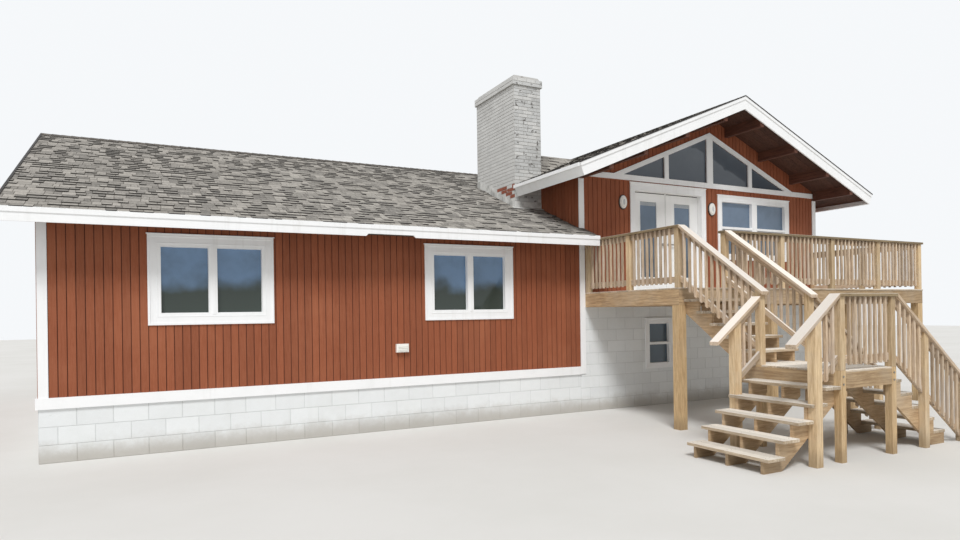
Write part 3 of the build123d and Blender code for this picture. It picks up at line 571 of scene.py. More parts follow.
FINISHES = (
    SidingFinish("siding", rgb(151, 84, 53), rgb(168, 103, 71), rgb(118, 62, 39)),
    # A darker copy of the siding for the CAD wall seen in the grooves between boards: painted shade in the
    # grooves
    SidingFinish("siding_groove_shade", rgb(98, 50, 33), rgb(110, 60, 40), rgb(72, 37, 26)),
    PaintFinish("trim_paint", rgb(250, 251, 252), rgb(241, 243, 243), rgb(202, 200, 194)),
    PaintFinish("door_paint", rgb(250, 251, 251), rgb(242, 243, 243), rgb(214, 212, 207), 0.1),
    PaintFinish("blind_cloth", rgb(206, 210, 212), rgb(190, 194, 197), rgb(160, 163, 165), 0.2, 0.8),
    ShingleFinish("shingle", rgb(184, 179, 171), rgb(90, 87, 83), rgb(146, 140, 131)),
    # Dark butt faces of the raised tabs: painted shade under the thicker tabs
    ShingleFinish("shingle_edge_shade", rgb(74, 71, 67), rgb(44, 42, 40), rgb(60, 57, 54), 0.3),
    # A darker copy of the shingle for the CAD roof seen in the slots between tabs, painted shade in the slots;
    # the ridge caps use it as well
    ShingleFinish("shingle_under", rgb(120, 113, 105), rgb(70, 65, 60), rgb(98, 90, 82), 0.3),
    MasonryFinish("block_paint", rgb(236, 239, 240), rgb(205, 206, 202), rgb(214, 217, 215),
                  0.72, 0.8, 9.0, 0.25, tone=0.035),
    MasonryFinish("block_joint", rgb(218, 221, 221), rgb(190, 190, 186), rgb(192, 194, 192),
                  0.72, 0.8, 9.0, 0.25, tone=0.035),
    MasonryFinish("concrete", rgb(168, 165, 158), rgb(150, 146, 138), rgb(132, 128, 120)),
    MasonryFinish("brick_paint", rgb(216, 216, 214), rgb(140, 134, 128), rgb(182, 181, 178),
                  0.7, 0.76, 9.0, 0.4, tone=0.05),
    MasonryFinish("brick_worn", rgb(204, 205, 204), rgb(104, 100, 97), rgb(168, 168, 166),
                  0.57, 0.63, 11.0, 0.5),
    MasonryFinish("brick_bare", rgb(150, 84, 62), rgb(196, 190, 184), rgb(108, 62, 48),
                  0.62, 0.66, 14.0, 0.4),
    MasonryFinish("mortar", rgb(190, 189, 186), rgb(140, 134, 128), rgb(160, 158, 154), 0.6, 0.7, 8.0, 0.4),
    WoodFinish("deck_wood", rgb(210, 194, 170), rgb(154, 132, 104), rgb(196, 188, 175), Along.X,
               tone=0.2, own_axes=True, bleached_and_lit_top=rgb(228, 223, 214)),
    WoodFinish("rim_board", rgb(200, 172, 134), rgb(148, 120, 88), rgb(182, 166, 144), Along.X,
               wear=0.5, own_axes=True),
    WoodFinish("rail_wood", rgb(216, 195, 168), rgb(160, 137, 112), rgb(200, 187, 174), Along.X,
               tone=0.2, own_axes=True, bleached_and_lit_top=rgb(234, 228, 220)),
    # The caps' darker base with a light top: painted shade on their sides and undersides, painted light with
    # bleaching on top
    WoodFinish("cap_wood", rgb(164, 144, 110), rgb(108, 90, 66), rgb(140, 126, 102), Along.X,
               tone=0.2, own_axes=True, bleached_and_lit_top=rgb(222, 216, 206)),
    WoodFinish("newel_wood", rgb(220, 196, 158), rgb(176, 148, 112), rgb(202, 186, 162), Along.X,
               wear=0.5, tone=0.2, own_axes=True),
    WoodFinish("rim_wood", rgb(208, 180, 142), rgb(160, 130, 98), rgb(190, 174, 152), Along.FLAT, wear=0.45),
    WoodFinish("post_wood", rgb(218, 190, 146), rgb(174, 142, 102), rgb(200, 180, 150), wear=0.4),
    WoodFinish("floor_wood", rgb(150, 112, 76), rgb(112, 78, 50), rgb(140, 112, 84), Along.X, splash=False),
    WoodFinish("beam_stain", rgb(106, 60, 42), rgb(68, 40, 29), rgb(94, 62, 48), Along.Y,
               wear=0.3, splash=False),
    # Darker than the beam stain: real brown stain deepened with painted shade of the overhangs; it also colours
    # the wing's soffits and the dark band under the wing's eaves, which are painted shade
    WoodFinish("soffit_stain_and_shade", rgb(88, 52, 37), rgb(58, 36, 26), rgb(80, 54, 42), Along.X,
               wear=0.3, splash=False),
    # The glass colours are painted reflections: sky above, darker ground and trees below
    GlassFinish("glass", rgb(132, 154, 180), rgb(96, 112, 126), (2.6, 4.1)),
    GlassFinish("glass_wing", rgb(128, 162, 200), rgb(68, 78, 72), (2.15, 2.4)),
    GlassFinish("glass_high", rgb(122, 132, 143), rgb(94, 103, 114), (4.3, 5.3)),
    PaintFinish("light_cover", rgb(246, 245, 240), rgb(234, 232, 224), rgb(204, 198, 182), 0.15, 0.25),
    MetalFinish("hardware", rgb(160, 158, 152), rgb(118, 116, 110), 0.35, 0.85),
    MetalFinish("dark_metal", rgb(40, 38, 37), rgb(62, 58, 55), 0.6, 0.1),
    MetalFinish("step_flashing", rgb(226, 226, 223), rgb(176, 176, 173), 0.6, 0.1),
)
MATERIALS: dict[str, bpy.types.Material] = {}

# The finish of a CAD node that carries boards, tabs, blocks or bricks of the scene, by its slot
SLOT_FINISH = {
    # Siding grooves take a darker copy of the siding, painted shade in the grooves
    "siding": "siding_groove_shade",
    # The CAD roof in the slots between tabs takes a darker copy of the shingle, painted shade in the slots
    "shingle": "shingle_under",
    "block_paint": "block_joint",
    "chimney_masonry": "mortar",
}
NODE_FINISH = {"transom_glass": "glass_high", "wing_window_glass": "glass_wing"}


# Mesh making


class Shape:
    """A mesh put together from operator-made solids, with a tone and a finish for each face."""

    batch_limit = 400

    def __init__(self, seed: int) -> None:
        """Start an empty mesh.

        Args:
            seed: The seed of its own random draws.
        """
        self.draw = random.Random(seed)
        self.batches: list[bmesh.types.BMesh] = []
        self.start_batch()

    def start_batch(self) -> None:
        """Start a new batch of solids, because each operator takes longer in a large mesh."""
        self.bm = bmesh.new()
        self.tones = self.bm.faces.layers.float.new("tone")
        self.boards = self.bm.verts.layers.float_vector.new("board")
        self.batches.append(self.bm)

    def batch(self) -> bmesh.types.BMesh:
        """Return the batch to add to, a new one if the last is full."""
        if len(self.bm.verts) > self.batch_limit:
            self.start_batch()
        return self.bm

    def paint(self, verts: Verts, tone: float | None, finish: int) -> None:
        """Give the faces at some vertices a tone and a finish."""
        shade = self.draw.uniform(-1.0, 1.0) if tone is None else tone
        for face in {face for vert in verts for face in vert.link_faces}:
            face[self.tones] = shade
            face.material_index = finish

    def box(self, low: Corner, high: Corner, tone: float | None = None, finish: int = 0) -> Verts:
        """Add a box between two corners.

        Args:
            low: The lowest corner.
            high: The highest corner.
            tone: Its tone, or None for a random one.
            finish: The number of its material.

        Returns:
            The new vertices.
        """
        size = [b - a for a, b in zip(low, high)]
        middle = [(a + b) / 2 for a, b in zip(low, high)]
        matrix = Matrix.Translation(middle) @ Matrix.Diagonal((*size, 1.0))
        verts = bmesh.ops.create_cube(self.batch(), size=1.0, matrix=matrix)["verts"]
        self.paint(verts, tone, finish)
        self.follow(verts, level(0.0), 0)
        return verts

    def follow(self, verts: Verts, foot: Height, axis: int) -> None:
        """Note each vertex's place in its board's own axes, longest first, from a random start.

        Args:
            verts: The board's vertices.
            foot: The height that the board follows.
            axis: The axis, 0 or 1, that the height depends on.
        """
        places = [Vector((vert.co.x, vert.co.y, vert.co.z - foot(vert.co[axis]))) for vert in verts]
        spans = [max(place[i] for place in places) - min(place[i] for place in places) for i in range(3)]
        order = sorted(range(3), key=lambda i: -spans[i])
        start = Vector([self.draw.uniform(0.0, 9.0) for _ in range(3)])
        for vert, place in zip(verts, places):
            vert[self.boards] = start + Vector([place[i] for i in order])

    def fitted(self, low: Corner, high: Corner, under: Height, over: Height, axis: int = 0,
               tone: float | None = None, finish: int = 0) -> Verts:
        """Add a box whose foot and head follow two heights along one axis.

        Args:
            low: Its lowest x and y.
            high: Its highest x and y.
            under: The height of its foot.
            over: The height of its head.
            axis: The axis, 0 or 1, that the heights follow.
            tone: Its tone, or None for a random one.
            finish: The number of its material.

        Returns:
            The new vertices.
        """
        verts = self.box((*low, 0.0), (*high, 1.0), tone, finish)
        for vert in verts:
            vert.co.z = over(vert.co[axis]) if vert.co.z > 0.5 else under(vert.co[axis])
        self.follow(verts, under, axis)
        return verts

    def ring(self, low: Corner, high: Corner, width: float) -> None:
        """Add four strips round a rectangle that stands along X, between two corners."""
        (x0, y0, z0), (x1, y1, z1) = low, high
        self.box((x0, y0, z0), (x1, y1, z0 + width), 0.0)
        self.box((x0, y0, z1 - width), (x1, y1, z1), 0.0)
        self.box((x0, y0, z0 + width), (x0 + width, y1, z1 - width), 0.0)
        self.box((x1 - width, y0, z0 + width), (x1, y1, z1 - width), 0.0)

    def cone(self, matrix: Matrix, radii: Span, depth: float, segments: int, finish: int = 0) -> None:
        """Add a closed round solid with a radius for each end."""
        made = bmesh.ops.create_cone(self.batch(), cap_ends=True, cap_tris=False, segments=segments,
                                     radius1=radii[0], radius2=radii[1], depth=depth, matrix=matrix)
        self.paint(made["verts"], 0.0, finish)

    def oval(self, middle: Corner, radii: Span, depth: float, dome: float, finish: int) -> None:
        """Add an oval plate that faces -Y.

        Args:
            middle: The middle of its back.
            radii: Half its width and half its height.
            depth: How far it stands out.
            dome: The share of its outline that its front face keeps.
            finish: The number of its material.
        """
        turn = Matrix.Rotation(math.radians(90.0), 4, "X")
        size = Matrix.Diagonal((radii[0], 1.0, radii[1], 1.0))
        place = Matrix.Translation((middle[0], middle[1] - depth / 2, middle[2]))
        self.cone(place @ size @ turn, (1.0, dome), depth, 36, finish)

    def rod(self, start: Corner, end: Corner, radius: float, segments: int = 12) -> None:
        """Add a round bar between two points."""
        a, b = Vector(start), Vector(end)
        turn = (b - a).to_track_quat("Z", "Y").to_matrix().to_4x4()
        self.cone(Matrix.Translation((a + b) / 2) @ turn, (radius, radius), (b - a).length, segments)

    def move(self, matrix: Matrix, verts: Verts) -> None:
        """Carry some vertices by a matrix."""
        bmesh.ops.transform(self.bm, matrix=matrix, verts=list(verts))

    def soften(self, width: float) -> None:
        """Take a little off every edge."""
        for batch in self.batches:
            bmesh.ops.bevel(batch, geom=list(batch.edges), offset=width, segments=1, profile=0.5,
                            affect="EDGES", material=-1, clamp_overlap=True)

    def piece(self, name: str, slot: str, finishes: Sequence[str], body: str = "house",
              replaces: Sequence[str] = ()) -> None:
        """Turn the mesh into a piece that rides on a body.

        Args:
            name: The piece's name.
            slot: The record's material slot; not used.
            finishes: The names of its materials, by number.
            body: The body that carries it.
            replaces: CAD nodes that it stands for.
        """
        mesh = bpy.data.meshes.new(name)
        whole, part = bmesh.new(), bpy.data.meshes.new("batch")
        for batch in self.batches:
            bmesh.ops.recalc_face_normals(batch, faces=list(batch.faces))
            batch.to_mesh(part)
            whole.from_mesh(part)
            batch.free()
        whole.to_mesh(mesh)
        whole.free()
        bpy.data.meshes.remove(part)
        for finish in finishes:
            mesh.materials.append(MATERIALS[finish])
        made = bpy.data.objects.new(name, mesh)
        bpy.context.scene.collection.objects.link(made)
        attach(made, body)
        if replaces:
            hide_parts(*replaces)
        LOG.info("%s: %d faces", name, len(mesh.polygons))


class Side(Enum):
    """The four sides that a wall can face: the axis it runs along and which way is out."""

    FRONT = (0, -1)
    BACK = (0, 1)
    LEFT = (1, -1)
    RIGHT = (1, 1)

    @property
    def axis(self) -> int:
        """The axis, 0 or 1, that the wall runs along."""
        return self.value[0]

    @property
    def out(self) -> int:
        """Which way the wall faces along the other axis."""
        return self.value[1]

    def corners(self, a: float, b: float, face: float, proud: float) -> tuple[Span, Span]:
        """Return the lowest and highest (x, y) of a strip on the wall's face."""
        y0, y1 = sorted((face, face + self.out * proud))
        return ((a, y0), (b, y1)) if self.axis == 0 else ((y0, a), (y1, b))


@dataclass(frozen=True)
class Opening:
    """A place that a wall's boards or blocks go round."""

    start: float
    end: float
    low: Height
    high: Height


@dataclass(frozen=True)
class Window:
    """A cased window on a wall, with one or two panes across and one or two up."""

    side: Side
    face: float
    middle: float
    foot: float
    width: float
    height: float
    casing: float
    mullion: float = 0.0
    cross: float = 0.0

    @property
    def across(self) -> Span:
        """The places along the wall where its casing starts and ends."""
        return self.middle - self.width / 2, self.middle + self.width / 2

    @property
    def opening(self) -> Opening:
        """The place that the wall's boards go round."""
        return Opening(*self.across, level(self.foot), level(self.foot + self.height))

    def strip(self, shape: Shape, across: Span, heights: Span, depths: Span) -> None:
        """Add a strip between two places across, two heights and two distances out from the wall."""
        start, end = depths
        (x0, y0), (x1, y1) = self.side.corners(*across, self.face + self.side.out * start, end - start)
        shape.box((x0, y0, heights[0]), (x1, y1, heights[1]), 0.0)

    def ring(self, shape: Shape, across: Span, heights: Span, wide: float, depths: Span) -> None:
        """Add four strips inside a rectangle on the wall."""
        (a, b), (low, high) = across, heights
        self.strip(shape, across, (low, low + wide), depths)
        self.strip(shape, across, (high - wide, high), depths)
        self.strip(shape, (a, a + wide), (low + wide, high - wide), depths)
        self.strip(shape, (b - wide, b), (low + wide, high - wide), depths)

    def panes(self, border: float) -> list[tuple[Span, Span]]:
        """Return each pane's places across and heights, inside a border next to the casing."""
        inset = self.casing + border
        a, b = self.across[0] + inset, self.across[1] - inset
        low, high = self.foot + inset, self.foot + self.height - inset
        across, up = [(a, b)], [(low, high)]
        if self.mullion:
            across = [(a, self.middle - self.mullion / 2), (self.middle + self.mullion / 2, b)]
        if self.cross:
            centre = (low + high) / 2
            up = [(low, centre - self.cross / 2), (centre + self.cross / 2, high)]
        return [(pair, heights) for pair in across for heights in up]


def wing_window(side: Side, face: float, middle: float) -> Window:
    """Return one of the wing's sliding windows."""
    return Window(side, face, middle, foot=1.692, width=1.615, height=1.21, casing=0.115, mullion=0.11)


def upper_window(side: Side, face: float, middle: float, width: float, mullion: float = 0.0) -> Window:
    """Return one of the tall part's windows, single or in a pair."""
    return Window(side, face, middle, 2.82, width, height=1.312, casing=0.08, mullion=mullion, cross=0.045)


def lower_window(side: Side, face: float, middle: float) -> Window:
    """Return one of the lower storey's small windows."""
    return Window(side, face, middle, foot=0.7, width=0.69, height=0.95, casing=0.055, cross=0.045)


WING_WINDOWS = (
    *(wing_window(side, side.out * HALF_DEPTH, x)
      for side in (Side.FRONT, Side.BACK) for x in (-9.372, -5.428)),
    wing_window(Side.LEFT, WING_LEFT, 0.0),
)
UPPER_WINDOWS = (
    upper_window(Side.FRONT, -HALF_DEPTH, 1.274, 2.133, 0.15),
    upper_window(Side.BACK, HALF_DEPTH, 0.0, 2.133, 0.15),
    *(upper_window(Side.RIGHT, HALF_TALL, y, 1.06) for y in (-2.1, 2.1)),
)
LOWER_WINDOWS = (
    lower_window(Side.FRONT, -HALF_DEPTH, -1.386),
    lower_window(Side.RIGHT, HALF_TALL, 0.0),
)


def openings(windows: Iterable[Window], side: Side) -> list[Opening]:
    """Return the openings of the windows on one side."""
    return [window.opening for window in windows if window.side is side]


@dataclass
class BoardedWall:
    """One wall of upright grooved boards that go round its openings."""

    side: Side
    face: float
    start: float
    end: float
    foot: Height
    head: Height
    openings: list[Opening] = field(default_factory=list)
    board: float = 0.1016
    groove: float = 0.011
    thick: float = 0.009
    shortest: float = 0.01

    def add_to(self, shape: Shape) -> None:
        """Add the wall's boards to a mesh."""
        count = max(1, round((self.end - self.start) / self.board))
        pitch = (self.end - self.start) / count
        for i in range(count):
            a = self.start + i * pitch + self.groove / 2
            b = self.start + (i + 1) * pitch - self.groove / 2
            tone = shape.draw.uniform(-1.0, 1.0)
            cuts = [c for o in self.openings for c in (o.start, o.end) if a < c < b]
            edges = sorted([a, *cuts, b])
            for c, d in zip(edges, edges[1:]):
                self.strip(shape, c, d, tone)

    def strip(self, shape: Shape, a: float, b: float, tone: float) -> None:
        """Add the boards over one stretch that every opening crosses fully or not at all."""
        middle = (a + b) / 2
        holes = sorted((o for o in self.openings if o.start < middle < o.end), key=lambda o: o.low(middle))
        foot = self.foot
        low, high = self.side.corners(a, b, self.face, self.thick)
        for hole in [*holes, None]:
            head = hole.low if hole else self.head
            if head(middle) - foot(middle) > self.shortest:
                shape.fitted(low, high, foot, head, self.side.axis, tone)
            if hole:
                foot = hole.high


@dataclass
class CoursedWall:
    """Running-bond courses of blocks or bricks on one face."""

    side: Side
    face: float
    start: float
    end: float
    foot: float
    head: float
    length: float
    course: float
    joint: float
    proud: float
    openings: list[Opening] = field(default_factory=list)
    hidden: Callable[[float, float], bool] | None = None
    pick: Callable[[float, float], int] | None = None
    smallest: float = 0.006

    def add_to(self, shape: Shape) -> None:
        """Add the wall's units to a mesh."""
        rows = round((self.head - self.foot) / self.course)
        course = (self.head - self.foot) / rows
        for row in range(rows):
            z0 = self.foot + row * course + self.joint / 2
            z1 = z0 + course - self.joint
            at = self.start - (self.length / 2 if row % 2 else 0.0)
            while at < self.end - 0.001:
                a, b = max(at, self.start) + self.joint / 2, min(at + self.length, self.end) - self.joint / 2
                at += self.length
                if b - a > self.joint:
                    self.unit(shape, a, b, z0, z1)

    def unit(self, shape: Shape, a: float, b: float, z0: float, z1: float) -> None:
        """Add one unit, cut back where an opening meets it."""
        if self.hidden and self.hidden((a + b) / 2, z1):
            return
        finish = self.pick((a + b) / 2, (z0 + z1) / 2) if self.pick else 0
        spans = [(a, b, z0, z1)]
        for hole in self.openings:
            low, high = hole.low(0.0), hole.high(0.0)
            kept = []
            for c, d, e, f in spans:
                if d <= hole.start or c >= hole.end or f <= low or e >= high:
                    kept.append((c, d, e, f))
                    continue
                kept += [(c, min(d, hole.start), e, f), (max(c, hole.end), d, e, f)]
                c, d = max(c, hole.start), min(d, hole.end)
                kept += [(c, d, e, min(f, low)), (c, d, max(e, high), f)]
            spans = [s for s in kept if min(s[1] - s[0], s[3] - s[2]) > self.smallest]
        tone = shape.draw.uniform(-1.0, 1.0)
        for c, d, e, f in spans:
            low_xy, high_xy = self.side.corners(c, d, self.face, self.proud)
            shape.box((*low_xy, e), (*high_xy, f), tone, finish)


@dataclass
class Slope:
    """A roof slope: where its eave starts, which way it runs, and how far it goes up.

    About half of its tabs stand higher, as on a laminated shingle, with the lower edge painted dark as the shade
    under the thicker tab.
    """

    origin: Vector
    along: Vector
    up: Vector
    length: float
    height: float
    hidden: Callable[[Vector], bool]
    course: float = 0.143
    tabs: Span = (0.07, 0.21)
    smallest: float = 0.02
    slot: float = 0.007
    drop: float = 0.004
    sunk: float = 0.002
    butt: float = 0.006
    raised_butt: float = 0.018
    raised_share: float = 0.45
    thin: float = 0.003

    def add_to(self, shape: Shape) -> None:
        """Add the slope's tabs to a mesh."""
        normal = self.along.cross(self.up).normalized()
        if normal.z < 0:
            normal.negate()
        matrix = Matrix.Translation(self.origin) @ Matrix((self.along, self.up, normal)).transposed().to_4x4()
        for row in range(math.ceil(self.height / self.course)):
            v0 = row * self.course
            v1 = min(v0 + self.course, self.height)
            at = -shape.draw.uniform(0.0, self.tabs[0])
            while at < self.length:
                width = shape.draw.uniform(*self.tabs)
                a, b = max(at, 0.0) + self.slot / 2, min(at + width, self.length) - self.slot / 2
                at += width
                if min(b - a, v1 - v0) >= self.smallest:
                    self.add_tab(shape, matrix, (a, b), (v0, v1))

    def add_tab(self, shape: Shape, matrix: Matrix, across: Span, up: Span) -> None:
        """Add one wedge-shaped tab, unless it is under another roof or in a wall."""
        (a, b), (v0, v1) = across, up
        if self.hidden(matrix @ Vector(((a + b) / 2, (v0 + v1) / 2, 0.0))):
            return
        foot = v0 - shape.draw.uniform(0.0, self.drop)
        stands = shape.draw.random() < self.raised_share
        verts = shape.box((a, foot, -self.sunk), (b, v1, self.raised_butt if stands else self.butt))
        # The lower edge of a raised tab gets the dark finish: painted shade under the thick tab
        for face in {face for vert in verts for face in vert.link_faces}:
            if stands and face.calc_center_median().y < v0:
                face.material_index = 1
        for vert in verts:
            if vert.co.z > 0.0 and vert.co.y > (v0 + v1) / 2:
                vert.co.z = self.thin
        shape.move(matrix, verts)


# Sub-assemblies


@dataclass
class Siding:
    """Grooved boards on all the framed walls."""

    wing_foot: float = 0.814
    band: Span = (4.25, 4.35)
    transom_reach: float = 2.444

    def gable_high(self, x: float) -> float:
        """Return the upper edge of the white band and the sloping trims at x."""
        return self.band[1] + max(0.0, self.transom_reach - abs(x)) * ROOF_PITCH

    def wing_walls(self) -> list[BoardedWall]:
        """Return the wing's three walls."""
        foot, under = level(self.wing_foot), raised(wing_top, -WING_SLAB)
        walls = []
        for side in (Side.FRONT, Side.BACK):
            walls.append(BoardedWall(side, side.out * HALF_DEPTH, WING_LEFT + CORNER_BOARD, -HALF_TALL, foot,
                                     level(under(HALF_DEPTH)), openings(WING_WINDOWS, side)))
        walls.append(BoardedWall(Side.LEFT, WING_LEFT, -HALF_DEPTH, HALF_DEPTH, foot, under,
                                 openings(WING_WINDOWS, Side.LEFT)))
        return walls

    def tall_walls(self) -> list[BoardedWall]:
        """Return the tall part's four walls."""
        under = raised(tall_top, -TALL_SLAB)
        door_low, door_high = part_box("door_frame")
        edge = HALF_TALL - CORNER_BOARD
        deck, base, eave = level(DECK_TOP), level(BLOCK_TOP), level(under(HALF_TALL))
        front = [Opening(door_low.x, door_high.x, deck, level(door_high.z)),
                 *openings(UPPER_WINDOWS, Side.FRONT),
                 Opening(-edge, edge, level(self.band[0]), self.gable_high)]
        walls = [BoardedWall(Side.FRONT, -HALF_DEPTH, -edge, edge, deck, under, front)]
        walls.append(BoardedWall(Side.BACK, HALF_DEPTH, -edge, edge, base, under,
                                 openings(UPPER_WINDOWS, Side.BACK)))
        walls.append(BoardedWall(Side.RIGHT, HALF_TALL, -HALF_DEPTH, HALF_DEPTH, base, eave,
                                 openings(UPPER_WINDOWS, Side.RIGHT)))
        for a, b in ((-HALF_DEPTH, CHIMNEY_Y[0]), (CHIMNEY_Y[1], HALF_DEPTH)):
            walls.append(BoardedWall(Side.LEFT, -HALF_TALL, a, b, lambda y: min(wing_top(y), eave(y)), eave))
        return walls

    def build(self) -> None:
        """Build the boards of both parts."""
        walls_by_name = {"wing_siding": self.wing_walls(), "tall_siding": self.tall_walls()}
        for seed, (name, walls) in enumerate(walls_by_name.items(), 11):
            shape = Shape(seed)
            for wall in walls:
                wall.add_to(shape)
            shape.piece(name, "siding", ["siding"])


def in_chimney(p: Vector) -> bool:
    """Say whether a point lies inside the chimney, seen from above."""
    return CHIMNEY_X[0] < p.x < CHIMNEY_X[1] and CHIMNEY_Y[0] < p.y < CHIMNEY_Y[1]


@dataclass
class Roofing:
    """Shingle tabs on every slope, and ridge caps."""

    lap: float = 0.03
    cricket_lap: float = 0.01
    wall_gap: float = 0.02
    cricket_ridge: float = 5.08
    cricket_length: float = 1.5
    cap_width: float = 0.15
    cap_step: float = 0.15
    cap_share: float = 0.97
    cap_heights: Span = (0.006, 0.014)
    cap_tilt: float = 0.006

    def wing_hidden(self, p: Vector) -> bool:
        """Say whether a tab of the wing's roof would lie in the chimney or under the tall roof."""
        return in_chimney(p) or (p.x > -HALF_TALL - self.wall_gap and tall_top(p.x) > p.z - self.lap)

    def tall_hidden(self, p: Vector) -> bool:
        """Say whether a tab of the tall roof would lie in the chimney's notch or under the wing's roof."""
        in_notch = p.x < CHIMNEY_X[1] and CHIMNEY_Y[0] < p.y < CHIMNEY_Y[1]
        return in_notch or (p.x < 0 and wing_top(p.y) > p.z + self.lap)

    def cricket_hidden(self, p: Vector) -> bool:
        """Say whether a tab behind the chimney would lie under either roof."""
        return max(tall_top(p.x), wing_top(p.y)) > p.z - self.cricket_lap

    def slopes(self) -> dict[str, list[Slope]]:
        """Return the slopes by the name of their piece."""
        x_axis, y_axis = Vector((1, 0, 0)), Vector((0, 1, 0))
        rise = ROOF_PITCH * Z_AXIS
        grade = math.hypot(1.0, ROOF_PITCH)
        wing, tall = [], []
        for sign in (-1, 1):
            start = Vector((WING_RAKE - FASCIA, sign * WING_OUT, wing_top(WING_OUT)))
            wing.append(Slope(start, x_axis, (-sign * y_axis + rise).normalized(),
                              SADDLE_END - WING_RAKE + FASCIA, WING_OUT * grade, self.wing_hidden))
            start = Vector((sign * TALL_OUT, -TALL_GABLE - FASCIA, tall_top(TALL_OUT)))
            tall.append(Slope(start, y_axis, (-sign * x_axis + rise).normalized(),
                              2 * (TALL_GABLE + FASCIA), TALL_OUT * grade, self.tall_hidden))
        base = tall_top(HALF_TALL)
        half = (CHIMNEY_Y[1] - CHIMNEY_Y[0]) / 2
        for sign in (-1, 1):
            up = -sign * y_axis + Z_AXIS * ((self.cricket_ridge - base) / half)
            start = Vector((CHIMNEY_X[1], sum(CHIMNEY_Y) / 2 + sign * half, base))
            tall.append(Slope(start, x_axis, up.normalized(), self.cricket_length, half * up.length,
                              self.cricket_hidden))
        return {"wing_shingles": wing, "tall_shingles": tall}

    def ridge(self, shape: Shape, start: Vector, end: Vector) -> None:
        """Add folded caps along one ridge."""
        along = (end - start).normalized()
        across = Z_AXIS.cross(along)
        count = round((end - start).length / self.cap_step)
        fall = Matrix.Rotation(-SLOPE_ANGLE, 4, "X")
        for i in range(count):
            at = start + (end - start) * (i / count)
            tone = shape.draw.uniform(-1.0, 1.0)
            for sign in (-1, 1):
                low, high = self.cap_heights
                corner = (self.cap_step * self.cap_share, self.cap_width, high)
                verts = shape.box((0.0, 0.0, low), corner, tone)
                for vert in verts:
                    if vert.co.x < self.cap_step / 2:
                        vert.co.z += self.cap_tilt
                turn = Matrix((along, sign * across, Z_AXIS)).transposed().to_4x4()
                shape.move(Matrix.Translation(at) @ turn @ fall, verts)

    def build(self) -> None:
        """Build the tabs and the caps."""
        for seed, (name, slopes) in enumerate(self.slopes().items(), 21):
            shape = Shape(seed)
            for slope in slopes:
                slope.add_to(shape)
            shape.piece(name, "shingle", ["shingle", "shingle_edge_shade"])
        caps = Shape(23)
        gable = TALL_GABLE + FASCIA
        self.ridge(caps, Vector((WING_RAKE - FASCIA, 0, WING_RIDGE)), Vector((SADDLE_END, 0, WING_RIDGE)))
        self.ridge(caps, Vector((0, -gable, TALL_RIDGE)), Vector((0, gable, TALL_RIDGE)))
        caps.piece("ridge_caps", "shingle", ["shingle_under"])


